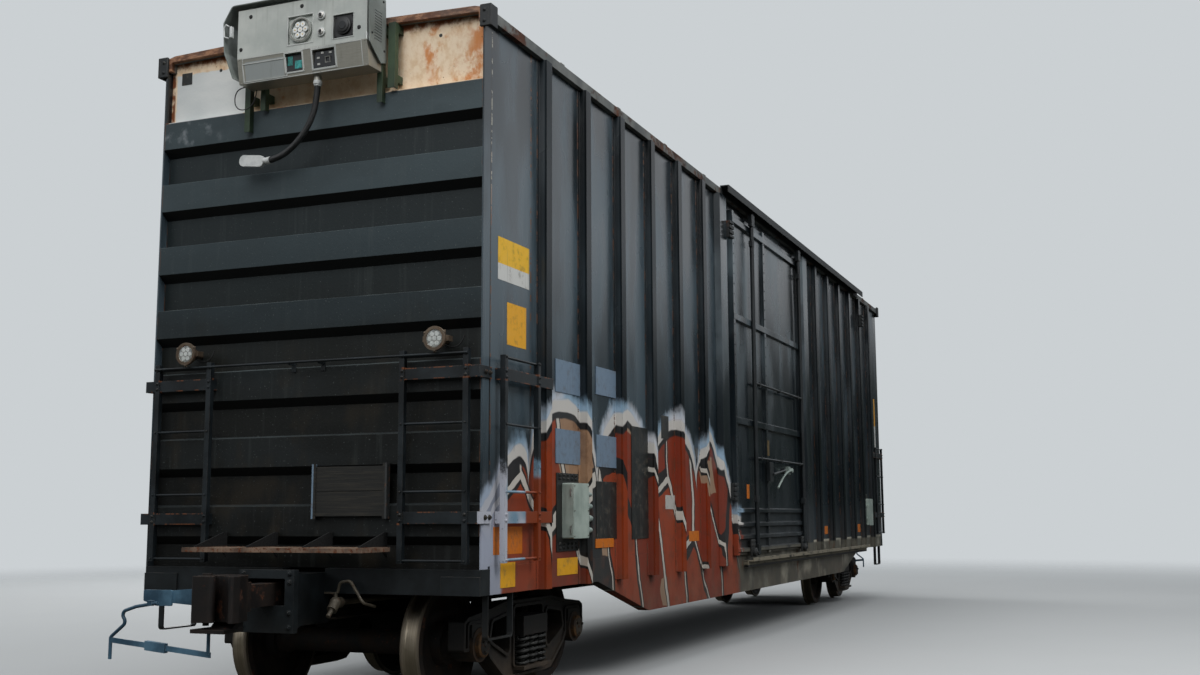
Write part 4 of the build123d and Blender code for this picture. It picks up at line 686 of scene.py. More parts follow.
def makeBoardWood():
    shader, vector = startMaterial("boardWood")
    y = split(vector)[1]
    fibre = noise(mapped(vector, (6, 0.7, 14)), 5.0, 6.0, 0.65)
    colour = grade(fibre, [(0.3, (12, 12, 11)), (0.5, (25, 24, 20)), (0.72, (50, 46, 38))])
    steel = calc("MAXIMUM", span(y, -0.097, -0.093), span(y, -0.701, -0.705))
    pale = span(y, -0.4, -0.2)
    channel = mixColour(pale, (52, 54, 54), (112, 132, 150))
    channel = mixColour(span(noise(vector, 14.0, 5.0), 0.55, 0.68), channel, (88, 62, 46))
    colour = mixColour(steel, colour, channel)
    finishShader(shader, colour, 0.75, fibre, None, 0.003, 0.5)


makeBoardWood()


# A blank label: plain print colour under dust and rain marks, and a second colour below some height
def makeLabel(name, top, low=None, level=0.0):
    shader, vector = startMaterial(name)
    colour = top
    if low:
        colour = mixColour(span(split(vector)[2], level - 0.002, level + 0.002), low, top)
    spots = noise(vector, 16.0, 6.0, 0.65)
    colour = mixColour(span(spots, 0.5, 0.76, 0.0, 0.55), colour, (94, 84, 70))
    colour = rained(colour, vector, 30.0, 0.4, (70, 64, 56))
    finishShader(shader, colour, span(spots, 0.3, 0.7, 0.4, 0.6), spots, None, 0.0008, 0.3)


makeLabel("labelYellow", (232, 168, 26))
makeLabel("labelNotice", (236, 184, 30), (208, 208, 204), 3.278)
makeLabel("labelBlue", (112, 132, 152))
makeLabel("labelBlack", (24, 28, 27))
makeLabel("labelOrange", (206, 112, 20))
makeLabel("labelWhite", (190, 188, 182))
makeLabel("labelSafety", (226, 160, 30), (206, 206, 202), 2.98)
print("finishes made:", len(materials))


# Which finish each CAD node takes. A star stands for right and left, a plus for the ends a and b.
nodeFinish = {
    "sidePaint": ["side_wall_+_*"],
    "sillPaint": ["side_sill_*"],
    "framePaint": ["door_frame_*", "plug_door_*"],
    "endPaint": ["end_wall_+"],
    "roofSteel": ["roof"],
    "trackSteel": ["door_tracks_*"],
    "blackSteel": ["door_gear_*", "sill_steps", "end_sills", "strikers", "hand_brake_gear",
                   "hand_brake_wheel"],
    "ladderPaint": ["side_ladders", "end_ladders_+"],
    "underSteel": ["centre_sill", "body_bolsters", "floor_beams", "floor_stringers", "air_reservoir",
                   "brake_valve", "brake_cylinder"],
    "pipeSteel": ["brake_pipe"],
    "floorSteel": ["floor_deck"],
    "rustyCasting": ["coupler_+"],
    "truckCasting": ["side_frames_+", "truck_bolster_+", "brake_beams_+"],
    "springSteel": ["truck_springs_+"],
    "wheelSteel": ["wheelset_+1", "wheelset_+2"],
    "platformSteel": ["crossover_platform_+"],
    "leverPaint": ["uncoupling_levers"],
    "sensorCase": ["sensor_housing"],
    "hoodGrey": ["sensor_hood"],
    "bracketGreen": ["sensor_brackets"],
    "hoseRubber": ["sensor_hose"],
    "whitePlastic": ["hose_end"],
    "lampRim": ["end_lamps"],
    "boardWood": ["placard_board"],
    "boxPaint": ["junction_box"],
}
unpainted = set(nodes)
for finish, patterns in nodeFinish.items():
    for pattern in patterns:
        names = {pattern.replace("+", end).replace("*", side) for end in "ab" for side in ("right", "left")}
        unpainted -= names
        for name in names:
            for place in nodes[name].material_slots:
                place.material = materials[finish]
print("nodes finished, left over:", sorted(unpainted))


# Helpers for new pieces
def edgesOf(verts):
    # Each edge at these points once, in an order that is the same in every run.
    return list(dict.fromkeys(e for v in verts for e in v.link_edges))


def easeEdges(bm, edges, width, segments):
    bmesh.ops.bevel(bm, geom=edges, offset=width, segments=segments, profile=0.5, affect="EDGES", material=-1)


def boxInto(bm, low, high, soften=0.0, segments=1):
    # A box between two opposite corners, with its edges eased.
    low, high = Vector(low), Vector(high)
    place = Matrix.Translation((low + high) / 2) @ Matrix.Diagonal((*(high - low), 1))
    made = bmesh.ops.create_cube(bm, size=1.0, matrix=place)
    if soften:
        easeEdges(bm, edgesOf(made["verts"]), soften, segments)
    return made["verts"]


def plateInto(bm, x0, x1, y, z, halfWidth, halfHeight, soften=0.001):
    # A thin box across the car, about y and z.
    boxInto(bm, (x0, y - halfWidth, z - halfHeight), (x1, y + halfWidth, z + halfHeight), soften)


def rodInto(bm, a, b, radius, sides=12, tip=None, soften=0.0):
    # A round rod from a to b, or a cone that ends in tip.
    a, b = Vector(a), Vector(b)
    turn = (b - a).to_track_quat("Z", "Y").to_matrix().to_4x4()
    end = radius if tip is None else tip
    made = bmesh.ops.create_cone(bm, cap_ends=True, segments=sides, radius1=radius, radius2=end,
                                 depth=(b - a).length, matrix=Matrix.Translation((a + b) / 2) @ turn)
    if soften:
        rims = [e for e in edgesOf(made["verts"]) if any(len(f.verts) > 4 for f in e.link_faces)]
        easeEdges(bm, rims, soften, 2)


def discInto(bm, x0, x1, y, z, radius, sides=12, tip=None, soften=0.0):
    # A rod along the car.
    rodInto(bm, (x0, y, z), (x1, y, z), radius, sides, tip, soften)


def tubeInto(bm, points, radius, sides=10, radii=None):
    # A tube through the points, capped at both ends.
    points = [Vector(p) for p in points]
    rings = []
    turn = None
    for i, point in enumerate(points):
        ahead = (points[min(i + 1, len(points) - 1)] - points[max(i - 1, 0)]).normalized()
        if turn is None:
            turn = ahead.to_track_quat("Z", "Y")
        else:
            turn = (turn @ Vector((0, 0, 1))).rotation_difference(ahead) @ turn
        place = Matrix.Translation(point) @ turn.to_matrix().to_4x4()
        made = bmesh.ops.create_circle(bm, cap_ends=i in (0, len(points) - 1), segments=sides,
                                       radius=radii[i] if radii else radius, matrix=place)
        rings.append(made["verts"])
    for pair in zip(rings, rings[1:]):
        around = edgesOf(pair[0] + pair[1])
        loops = [e for e in around if any(e.verts[0] in ring and e.verts[1] in ring for ring in pair)]
        bmesh.ops.bridge_loops(bm, edges=loops)


def boltInto(bm, place, ahead, size=0.012, sides=6, washer=True):
    # A bolt's head, nut end and washer. Ahead is the way it points.
    place, ahead = Vector(place), Vector(ahead).normalized()
    if washer:
        rodInto(bm, place, place + ahead * size * 0.22, size * 1.35, 12)
    rodInto(bm, place, place + ahead * size * 0.85, size, sides)
    rodInto(bm, place + ahead * size * 0.8, place + ahead * size * 1.25, size * 0.5, 8)


def onCircle(count, radius, start=0.0):
    # Offsets of points that lie evenly on a circle.
    angles = [start + 2 * math.pi * k / count for k in range(count)]
    return [(radius * math.cos(a), radius * math.sin(a)) for a in angles]


def corners(x, y):
    return [(-x, -y), (-x, y), (x, -y), (x, y)]


def turnRound(bm, start=0):
    # Turns the vertices from number start on about the car's upright axis, to the other side and end.
    bm.verts.ensure_lookup_table()
    bmesh.ops.rotate(bm, verts=bm.verts[start:], matrix=Matrix.Rotation(math.pi, 3, "Z"))


def finishPiece(bm, name, finish, body="carbody", sharp=35.0):
    bmesh.ops.recalc_face_normals(bm, faces=bm.faces[:])
    mesh = bpy.data.meshes.new(name)
    bm.to_mesh(mesh)
    bm.free()
    mesh.shade_smooth()
    mesh.set_sharp_from_angle(angle=math.radians(sharp))
    mesh.materials.append(materials[finish])
    piece = bpy.data.objects.new(name, mesh)
    scene.collection.objects.link(piece)
    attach(piece, body)
    return piece


# The hose under the sensor unit, with its ribs and gland ring. Its route is in mm, from the end sheet
# and the rail.
hoseSizes = {"radius": 0.024, "ribDepth": 0.0022, "ribPitch": 0.009, "length": 0.776}
hoseRoute = [(-160, -126, 4672), (-160, -124, 4590), (-158, -95, 4430), (-152, -10, 4290), (-142, 112, 4185),
             (-135, 232, 4130), (-130, 310, 4122)]


def splinePoints(route):
    # The points of a smooth line with the route's points as its control points.
    curve = bpy.data.curves.new("routeLine", "CURVE")
    curve.dimensions = "3D"
    curve.resolution_u = 24
    spline = curve.splines.new("NURBS")
    spline.points.add(len(route) - 1)
    for point, place in zip(spline.points, route):
        point.co = (*place, 1.0)
    spline.order_u = 3
    spline.use_endpoint_u = True
    line = bpy.data.objects.new("routeLine", curve)
    scene.collection.objects.link(line)
    bpy.context.view_layer.update()
    mesh = bpy.data.meshes.new_from_object(line)
    found = [v.co.copy() for v in mesh.vertices]
    bpy.data.objects.remove(line)
    bpy.data.curves.remove(curve)
    bpy.data.meshes.remove(mesh)
    return found


def evenly(points, step):
    # The same line with points a step apart.
    total = sum((b - a).length for a, b in zip(points, points[1:]))
    count = max(2, round(total / step))
    found, walked, i = [points[0]], 0.0, 0
    for k in range(1, count):
        goal = total * k / count
        while walked + (points[i + 1] - points[i]).length < goal:
            walked += (points[i + 1] - points[i]).length
            i += 1
        found.append(points[i].lerp(points[i + 1], (goal - walked) / (points[i + 1] - points[i]).length))
    return found + [points[-1]]


def leadInto(bm, route, step, radius, sides=8):
    # A thin cable along a smooth route.
    tubeInto(bm, evenly(splinePoints(route), step), radius, sides)


def makeHose():
    route = [Vector((endX + x / 1000, y / 1000, rail + z / 1000)) for x, y, z in hoseRoute]
    line = evenly(splinePoints(route), hoseSizes["ribPitch"] / 3)
    # every third ring lies in the groove between two ribs
    radii = [hoseSizes["radius"] - (0.0 if i % 3 else hoseSizes["ribDepth"]) for i in range(len(line))]
    bm = bmesh.new()
    tubeInto(bm, line, hoseSizes["radius"], 20, radii)
    hose = finishPiece(bm, "sensorHose", "hoseRubber", sharp=60.0)
    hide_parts("sensor_hose")
    bm = bmesh.new()
    down = (route[1] - route[0]).normalized()
    rodInto(bm, route[0] - down * 0.012, route[0] + down * 0.02, 0.034, 24, soften=0.003)
    rodInto(bm, route[0] + down * 0.02, route[0] + down * 0.032, 0.03, 6, soften=0.002)
    finishPiece(bm, "hoseGland", "whitePlastic")


makeHose()
print("hose made")


# Blank labels and plates on the sides, in metres from the car's corner and above the rail
labelPlates = [
    # finish, start, end, low, high, how far proud
    ("labelYellow", 0.390, 0.717, 2.663, 2.980, 0.0015),
    ("labelNotice", 0.237, 0.768, 3.130, 3.450, 0.0015),
    ("labelBlue", 1.257, 1.755, 2.392, 2.655, 0.0065),
    ("labelBlue", 2.100, 2.565, 2.440, 2.680, 0.0065),
    ("labelBlue", 1.257, 1.755, 1.824, 2.098, 0.0065),
    ("labelBlue", 2.108, 2.565, 1.823, 2.095, 0.0065),
    ("labelBlack", 2.100, 2.565, 1.210, 1.700, 0.0065),
    ("labelBlack", 2.945, 3.375, 1.200, 2.220, 0.0065),
    ("labelYellow", 0.300, 0.540, 0.900, 1.078, 0.0030),
    ("labelOrange", 0.185, 0.660, 1.136, 1.333, 0.0015),
    ("labelOrange", 2.077, 2.488, 1.140, 1.216, 0.0075),
    ("labelOrange", 4.583, 4.912, 1.147, 1.250, 0.0015),
    ("labelBlack", 3.770, 3.990, 2.150, 2.376, 0.0015),
    ("labelWhite", 3.870, 4.150, 1.470, 1.605, 0.0015),
    ("labelYellow", 1.294, 1.700, 0.945, 1.078, 0.0030),
    ("labelOrange", 6.640, 6.750, 1.600, 1.765, 0.0345),
    ("labelOrange", 6.985, 7.085, 1.600, 1.765, 0.0345),
    ("labelOrange", 10.850, 11.060, 1.130, 1.245, 0.0015),
    ("labelOrange", 13.300, 13.520, 1.127, 1.255, 0.0015),
    ("labelSafety", 15.040, 15.150, 2.570, 3.440, 0.0015),
]
farSideLabels = [0, 2, 4, 6, 7, 9, 15, 16, 17, 19]


def makeLabels():
    for side in (-1, 1):
        for i, (finish, start, end, low, high, proud) in enumerate(labelPlates):
            if side > 0 and i not in farSideLabels:
                continue
            bm = bmesh.new()
            boxInto(bm, (endX + start, sideY - proud, rail + low), (endX + end, sideY, rail + high), 0.0004)
            if side > 0:
                turnRound(bm)
            finishPiece(bm, "blankLabel_%s_%02d" % ("right" if side < 0 else "left", i), finish)


makeLabels()
print("labels made")


# Springs as real coils, in place of the ridged solids
coilSizes = {
    "low": 0.260, "high": 0.495, "rows": (-0.16, 0.0, 0.16), "columns": (-0.075, 0.075),
    # radius, wire, turns, sides of the wire, steps in a turn
    "kinds": ((0.053, 0.0145, 5.5, 7, 14), (0.026, 0.0085, 9, 6, 12)),
}


def makeCoil(low, high, radius, wire, turns, sides, perTurn):
    # One coil about the z axis, its first and last half turns lying flat.
    bm = bmesh.new()
    start = Matrix.Translation((radius, 0, low + wire)) @ Matrix.Rotation(math.pi / 2, 4, "X")
    ring = bmesh.ops.create_circle(bm, cap_ends=True, segments=sides, radius=wire, matrix=start)["verts"]
    front = edgesOf(ring) + list(ring[0].link_faces)
    rise = (high - low - 2 * wire) / ((turns - 1.0) * perTurn)
    for steps, climb in ((perTurn // 2, 0.0), (int((turns - 1.0) * perTurn), rise), (perTurn // 2, 0.0)):
        turn = 2 * math.pi * steps / perTurn
        made = bmesh.ops.spin(bm, geom=front, cent=(0, 0, 0), axis=(0, 0, 1), dvec=(0, 0, climb), angle=turn,
                              steps=steps, use_merge=False, use_duplicate=False)
        front = made["geom_last"]
    mesh = bpy.data.meshes.new("oneCoil")
    bm.to_mesh(mesh)
    bm.free()
    return mesh


def makeSprings():
    coils = [makeCoil(coilSizes["low"], coilSizes["high"], *kind) for kind in coilSizes["kinds"]]
    for end, sign in (("a", -1), ("b", 1)):
        bm = bmesh.new()
        places = [(sign * carBody["truckX"] + dx, side * carBody["journalY"] + dy, 0.0)
                  for side in (-1, 1) for dx in coilSizes["rows"] for dy in coilSizes["columns"]]
        for place in places:
            for coil in coils:
                start = len(bm.verts)
                bm.from_mesh(coil)
                bm.verts.ensure_lookup_table()
                bmesh.ops.translate(bm, verts=bm.verts[start:], vec=place)
        piece = finishPiece(bm, "coilSprings_" + end, "springSteel", "truck_" + end, 50)
        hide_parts("truck_springs_" + end)
    for coil in coils:
        bpy.data.meshes.remove(coil)


makeSprings()
print("springs made")


# Sensor unit: lamp, camera, windows, screws, latch and cable
sensorUnit = {
    "front": -8.0, "right": -0.615, "low": 4.745, "fold": 4.937, "foldBack": 0.038,
    # middles of the windows and of the folded plate
    "lamp": (-0.026, 5.093), "camera": (-0.408, 5.067), "teal": (0.036, 4.851), "dark": (-0.232, 4.847),
    "blank": (0.306, 4.825), "lowPlate": (-0.032, 4.841),
    # width, height, bar and how far proud each frame is
    "frames": {"lamp": (0.22, 0.22, 0.008, 0.003), "camera": (0.176, 0.18, 0.007, 0.003),
               "teal": (0.15, 0.136, 0.012, 0.004), "dark": (0.196, 0.136, 0.014, 0.004),
               "blank": (0.39, 0.125, 0.007, 0.004), "lowPlate": (1.06, 0.178, 0.006, 0.002)},
    "ports": ((-0.217, 5.175), (-0.219, 5.045)),
    "plugs": ((-0.035, 5.278), (0.433, 5.263), (0.517, 5.010), (-0.546, 5.035)),
    "foldScrews": (-0.595, -0.415, -0.195, 0.0, 0.25, 0.53),
    "darkBoards": ((-0.05, 0.04), (0.02, 0.045), (0.055, 0.01), (0.05, -0.04)),
    # the plate at the right: its y, x and z of the first slot, steps to the next ones, x and z of the bolts
    "sidePlate": -0.641, "slots": (-7.93, 4.96), "slotSteps": (0.017, 0.022), "slotRows": 11,
    "slotColumns": 6,
    "sideBolts": ((-8.0, 5.28), (-7.82, 5.28), (-7.97, 4.99), (-7.80, 4.90)),
    "latch": ((-8.034, 0.61, 5.20), (-8.038, 0.635, 5.215), (-8.038, 0.655, 5.19), (-8.036, 0.65, 5.12),
              (-8.034, 0.61, 5.105)),
    "cable": ((-7.86, 0.55, 4.76), (-7.87, 0.62, 4.76), (-7.87, 0.665, 4.70), (-7.87, 0.655, 4.61),
              (-7.86, 0.60, 4.575), (-7.84, 0.53, 4.60), (-7.82, 0.50, 4.68), (-7.81, 0.50, 4.76)),
    # the ports' rings: name, radius, start and end ahead of the front plate, finish, sides
    "rings": (("portCollars", 0.034, 0.009, 0.0145, "whitePlastic", 28),
              ("portNuts", 0.024, 0.014, 0.024, "silverPin", 8),
              ("portBores", 0.014, 0.0235, 0.026, "darkGlass", 20)),
}


def slopeX(z):
    # x of the folded lower plate at the height z.
    part = (sensorUnit["fold"] - z) / (sensorUnit["fold"] - sensorUnit["low"])
    return sensorUnit["front"] + sensorUnit["foldBack"] * max(0.0, min(1.0, part))


def frameInto(bm, y, z, width, height, bar, proud, x=None):
    # A flat frame round a window, on the front plate at x or on the folded plate.
    half, tall = width / 2, height / 2
    for y0, y1, z0, z1 in ((y - half - bar, y + half + bar, z + tall, z + tall + bar),
                           (y - half - bar, y + half + bar, z - tall - bar, z - tall),
                           (y - half - bar, y - half, z - tall, z + tall),
                           (y + half, y + half + bar, z - tall, z + tall)):
        low, high = (slopeX(z0), slopeX(z1)) if x is None else (x, x)
        for vert in boxInto(bm, (0, y0, z0), (1, y1, z1)):
            base = low if abs(vert.co.z - z0) < 1e-5 else high
            vert.co.x = base + 0.001 if vert.co.x > 0.5 else base - proud


def sensorPiece(bm, name, finish):
    # Finishes one piece and starts the next.
    finishPiece(bm, name, finish)
    return bmesh.new()


def makeSensorDetails():
    unit = sensorUnit
    front = unit["front"]
    bm = bmesh.new()
    for window, sizes in unit["frames"].items():
        frameInto(bm, *unit[window], *sizes, front if window in ("lamp", "camera") else None)
    bm = sensorPiece(bm, "windowFrames", "platePale")
    # lamp: a ring of fins and seven small reflectors with their emitters
    y, z = unit["lamp"]
    for dy, dz in onCircle(48, 0.088):
        discInto(bm, front - 0.001, front - 0.009, y + dy, z + dz, 0.0065, 6)
    bm = sensorPiece(bm, "lampRingFins", "lampMetal")
    spots = [(0.0, 0.0)] + onCircle(6, 0.046)
    for dy, dz in spots:
        discInto(bm, front + 0.008, front - 0.004, y + dy, z + dz, 0.010, 20, 0.0215)
    bm = sensorPiece(bm, "lampReflectors", "lampReflector")
    for dy, dz in spots:
        discInto(bm, front + 0.004, front - 0.006, y + dy, z + dz, 0.0075, 12, 0.004)
    bm = sensorPiece(bm, "lampEmitters", "labelNotice")
    # camera: dark plate with stepped lens rings
    y, z = unit["camera"]
    plateInto(bm, front + 0.0175, front + 0.010, y, z, 0.088, 0.09)
    discInto(bm, front + 0.010, front - 0.006, y, z, 0.066, 36, soften=0.003)
    discInto(bm, front - 0.005, front - 0.014, y, z, 0.052, 36, soften=0.003)
    for dy, dz in corners(0.072, 0.074):
        boltInto(bm, (front + 0.010, y + dy, z + dz), (-1, 0, 0), 0.006, 6, False)
    bm = sensorPiece(bm, "cameraHousing", "cableBlack")
    discInto(bm, front - 0.012, front - 0.0165, y, z, 0.034, 32, 0.028)
    bm = sensorPiece(bm, "cameraLens", "darkGlass")
    # the two lower windows
    y, z = unit["teal"]
    x = slopeX(z)
    plateInto(bm, x + 0.016, x + 0.009, y, z, 0.074, 0.067)
    bm = sensorPiece(bm, "screenBack", "cableBlack")
    boxInto(bm, (x + 0.010, y - 0.066, z - 0.052), (x + 0.006, y - 0.005, z + 0.012), 0.001)
    boxInto(bm, (x + 0.010, y + 0.018, z - 0.020), (x + 0.007, y + 0.062, z + 0.052), 0.001)
    bm = sensorPiece(bm, "screenGlow", "tealBoard")
    y, z = unit["dark"]
    x = slopeX(z)
    plateInto(bm, x + 0.016, x + 0.009, y, z, 0.097, 0.067)
    bm = sensorPiece(bm, "portWindow", "darkGlass")
    frameInto(bm, y - 0.03, z - 0.012, 0.034, 0.034, 0.007, -0.002)
    for dy, dz in unit["darkBoards"]:
        plateInto(bm, x + 0.012, x + 0.005, y + dy, z + dz, 0.012, 0.008)
    bm = sensorPiece(bm, "portBoards", "silverPin")
    # round glands, small screws and rubber plugs
    for y, z in unit["ports"]:
        discInto(bm, front - 0.010, front - 0.017, y, z, 0.026, 24, soften=0.002)
        discInto(bm, front - 0.016, front - 0.021, y, z, 0.0125, 16)
    for y in unit["foldScrews"]:
        for z in (unit["low"] + 0.008, unit["fold"] - 0.008):
            boltInto(bm, (slopeX(z), y, z), (-1, 0, -0.1), 0.0042, 6, False)
    for window in ("dark", "teal"):
        y, z = unit[window]
        width, height = unit["frames"][window][:2]
        for s, t in corners(1, 1):
            x = slopeX(z + t * height / 2) - 0.003
            at = (x, y + s * (width / 2 + 0.006), z + t * (height / 2 + 0.005))
            boltInto(bm, at, (-1, 0, 0), 0.0035, 6, False)
    bm = sensorPiece(bm, "sensorScrews", "silverPin")
    for y, z in unit["plugs"]:
        discInto(bm, front, front - 0.007, y, z, 0.0165, 20, 0.012)
        discInto(bm, front - 0.005, front - 0.010, y, z, 0.008, 12, 0.004)
    for y, z in unit["ports"]:
        discInto(bm, front - 0.020, front - 0.0225, y, z, 0.008)
    bm = sensorPiece(bm, "rubberPlugs", "rubberBlock")
    # slots of the pale plate at the right
    y = unit["sidePlate"]
    for row in range(unit["slotRows"]):
        for column in range(unit["slotColumns"]):
            x = unit["slots"][0] + column * unit["slotSteps"][0]
            z = unit["slots"][1] + row * unit["slotSteps"][1]
            rodInto(bm, (x, y + 0.001, z), (x, y - 0.0012, z), 0.0052, 8)
    for x, z in unit["sideBolts"]:
        boltInto(bm, (x, y, z), (0, -1, 0), 0.007)
    bm = sensorPiece(bm, "plateSlots", "cableBlack")
    # over-centre latch on the cowl's edge and hinge knuckle under it
    boxInto(bm, (front - 0.036, 0.585, 5.11), (front - 0.003, 0.605, 5.20), 0.003)
    tubeInto(bm, unit["latch"], 0.006, 8)
    boxInto(bm, (front - 0.012, unit["right"] - 0.004, 4.93), (front + 0.05, unit["right"], 4.99), 0.002)
    finishPiece(bm, "cowlLatch", "whitePlastic")
    # thin cable that loops out from behind the cowl's left edge
    bm = bmesh.new()
    leadInto(bm, unit["cable"], 0.012, 0.0045)
    finishPiece(bm, "sensorCable", "cableBlack")


makeSensorDetails()
print("sensor unit detailed")


# End lamps: lens, back plate, reflectors, guard lugs and a lead
endLamps = {"places": ((-7.85, -1.131, 2.690), (-7.85, 1.060, 2.690)), "radius": 0.066,
            # the lead's route from the lamp's middle
            "lead": ((0.075, 0, -0.005), (0.09, -0.03, -0.04), (0.108, -0.10, -0.06), (0.112, -0.16, -0.03),
                     (0.115, -0.18, 0.03))}


def lampPiece(bm, name, finish):
    # Finishes one piece and starts the next.
    finishPiece(bm, name, finish)
    return bmesh.new()


def makeLampDetails():
    radius = endLamps["radius"]
    for i, (x, y, z) in enumerate(endLamps["places"]):
        bm = bmesh.new()
        discInto(bm, x - 0.001, x - 0.007, y, z, radius, 40, 0.060, 0.001)
        bm = lampPiece(bm, "endLampLens_%d" % i, "lampLens")
        discInto(bm, x - 0.0001, x - 0.0006, y, z, radius + 0.004, 36)
        bm = lampPiece(bm, "endLampBack_%d" % i, "lampMetal")
        for dy, dz in onCircle(6, 0.038) + [(0.0, 0.0)]:
            discInto(bm, x - 0.0005, x - 0.0025, y + dy, z + dz, 0.0165, 16)
        bm = lampPiece(bm, "endLampReflectors_%d" % i, "lampReflector")
        for dy, dz in onCircle(3, 0.088, 0.5):
            at = Vector((x - 0.006, y + dy, z + dz))
            boltInto(bm, at, (-1, 0, 0), 0.007)
            boxInto(bm, at - Vector((-0.002, 0.012, 0.012)), at + Vector((0.016, 0.012, 0.012)), 0.003)
        for dy, dz in onCircle(28, 1.0):
            out = Vector((0, dy, dz))
            at = Vector((x + 0.02, y, z)) + out * 0.067
            rodInto(bm, at, at + Vector((0.032, 0, 0)) - out * 0.012, 0.0035, 5)
        bm = lampPiece(bm, "endLampLugs_%d" % i, "lampRim")
        leadInto(bm, [Vector((x, y, z)) + Vector(step) for step in endLamps["lead"]], 0.012, 0.005)
        finishPiece(bm, "endLampLead_%d" % i, "cableBlack")


makeLampDetails()
print("lamps detailed")


# Fittings that repeat at both ends or on both sides are made for one and turned round for the other
def makeTwice(name, finish, make):
    # Known fault: a bevel frees vertex numbers that the second make takes, so eased pieces are torn.
    bm = bmesh.new()
    make(bm)
    start = len(bm.verts)
    make(bm)
    turnRound(bm, start)
    finishPiece(bm, name, finish)


# Ladders: bolts through stiles and straps, nuts at the rung ends, corner wraps
ladderBolts = {
    "rungs": [1.125 + 0.483 * i for i in range(4)], "straps": (1.425, 2.450), "apart": 0.022,
    "sideStiles": (0.221, 0.788), "sideFront": 0.0843, "endStiles": (-1.363, -0.845, 0.863, 1.355),
    "endFront": 0.076, "wrap": (0.032, 0.098), "wrapSheet": 0.012,
}


def stileBolts(bm, x, y, ahead):
    for z in ladderBolts["rungs"]:
        boltInto(bm, (x, y, z), ahead, 0.008, 6, False)
    for z in ladderBolts["straps"]:
        for dz in (-ladderBolts["apart"], ladderBolts["apart"]):
            boltInto(bm, (x, y, z + dz), ahead, 0.0095)


def oneEndsLadders(bm):
    for y in ladderBolts["endStiles"]:
        stileBolts(bm, endX - ladderBolts["endFront"], y, (-1, 0, 0))
    for side in (-1, 1):
        for u in ladderBolts["sideStiles"]:
            stileBolts(bm, endX + u, side * (carBody["halfWidth"] + ladderBolts["sideFront"]), (0, side, 0))


def oneEndsWraps(bm):
    out = carBody["halfWidth"] + ladderBolts["wrapSheet"]
    for side in (-1, 1):
        for u in ladderBolts["wrap"]:
            for z in ladderBolts["straps"]:
                boltInto(bm, (endX + u, side * out, z), (0, side, 0), 0.015)


def makeLadderBolts():
    makeTwice("ladderBolts", "ladderPaint", oneEndsLadders)
    makeTwice("cornerBolts", "boltSteel", oneEndsWraps)


# Junction box: bolts of its plate, screws of its lid, hinges and the connectors at its side
sideBox = {
    "start": 1.373, "end": 1.693, "low": 1.256, "high": 1.694, "face": 0.108, "plate": 0.0072, "axis": 0.080,
    "boltRows": (1.182, 1.214, 1.728, 1.758), "boltColumns": (1.335, 1.415, 1.495, 1.575, 1.655),
    # height, radius
    "connectors": ((1.318, 0.026), (1.412, 0.030), (1.510, 0.026), (1.606, 0.021)),
}


def makeBoxDetails():
    box = sideBox
    front = sideY - box["face"]
    bm = bmesh.new()
    for z in box["boltRows"]:
        for u in box["boltColumns"]:
            boltInto(bm, (endX + u, sideY - box["plate"], z), (0, -1, 0), 0.0105)
    finishPiece(bm, "boxPlateBolts", "trackSteel")
    bm = bmesh.new()
    for u in (box["start"] + 0.02, box["end"] - 0.02):
        for z in (box["low"] + 0.022, (box["low"] + box["high"]) / 2, box["high"] - 0.022):
            boltInto(bm, (endX + u, front, z), (0, -1, 0), 0.0065, 6, False)
    x = endX + box["start"] - 0.006
    for z in (box["low"] + 0.07, box["high"] - 0.07):
        rodInto(bm, (x, front + 0.02, z - 0.032), (x, front + 0.02, z + 0.032), 0.006)
    finishPiece(bm, "boxLidScrews", "silverPin")
    bm = bmesh.new()
    x, y = endX + box["end"], sideY - box["axis"]
    for z, radius in box["connectors"]:
        discInto(bm, x, x + 0.010, y, z, radius * 1.2, 6)
        discInto(bm, x, x + 0.062, y, z, radius, 20, None, 0.002)
        discInto(bm, x + 0.062, x + 0.095, y, z, radius * 0.82, 20, None, 0.002)
    finishPiece(bm, "boxConnectors", "boxGrey")
    bm = bmesh.new()
    for i, (z, _) in enumerate(box["connectors"][:2]):
        at = Vector((x + 0.09, y, z))
        steps = ((0, 0, 0), (0.03, 0.004, -0.004), (0.052, 0.02, -0.05), (0.045 - 0.02 * i, 0.04, -0.12),
                 (0.01, 0.046, -0.165))
        leadInto(bm, [at + Vector(step) for step in steps], 0.01, 0.009, 9)
    finishPiece(bm, "boxLeads", "cableBlack")


# Plug doors: rivets along the stiles, hangers with rollers, latch plate, tag and locking lever
doorFittings = {
    "face": -1.5203, "sheet": -1.4903, "stiles": (-1.565, -0.225, 1.565), "low": 1.02, "high": 4.90,
    "rivetPitch": 0.118, "hangers": (-1.05, 1.42), "hangerFace": -1.548, "hangerBack": -1.5245,
    "railTop": 0.950, "roller": 0.052, "latch": (-0.235, -0.150, 1.885, 2.075),
    "tag": (-0.245, -0.165, 2.155, 2.345), "pivot": (0.80, 2.005),
    "lever": ((0.80, 2.005), (0.62, 1.985), (0.42, 1.925), (0.24, 1.845), (0.10, 1.768)),
}


def oneDoorsRivets(bm):
    door = doorFittings
    count = int((door["high"] - door["low"]) / door["rivetPitch"])
    for x in door["stiles"]:
        for i in range(count + 1):
            at = Vector((x, door["face"], door["low"] + i * door["rivetPitch"]))
            rodInto(bm, at, at + Vector((0, -0.005, 0)), 0.0095, 8, 0.005)


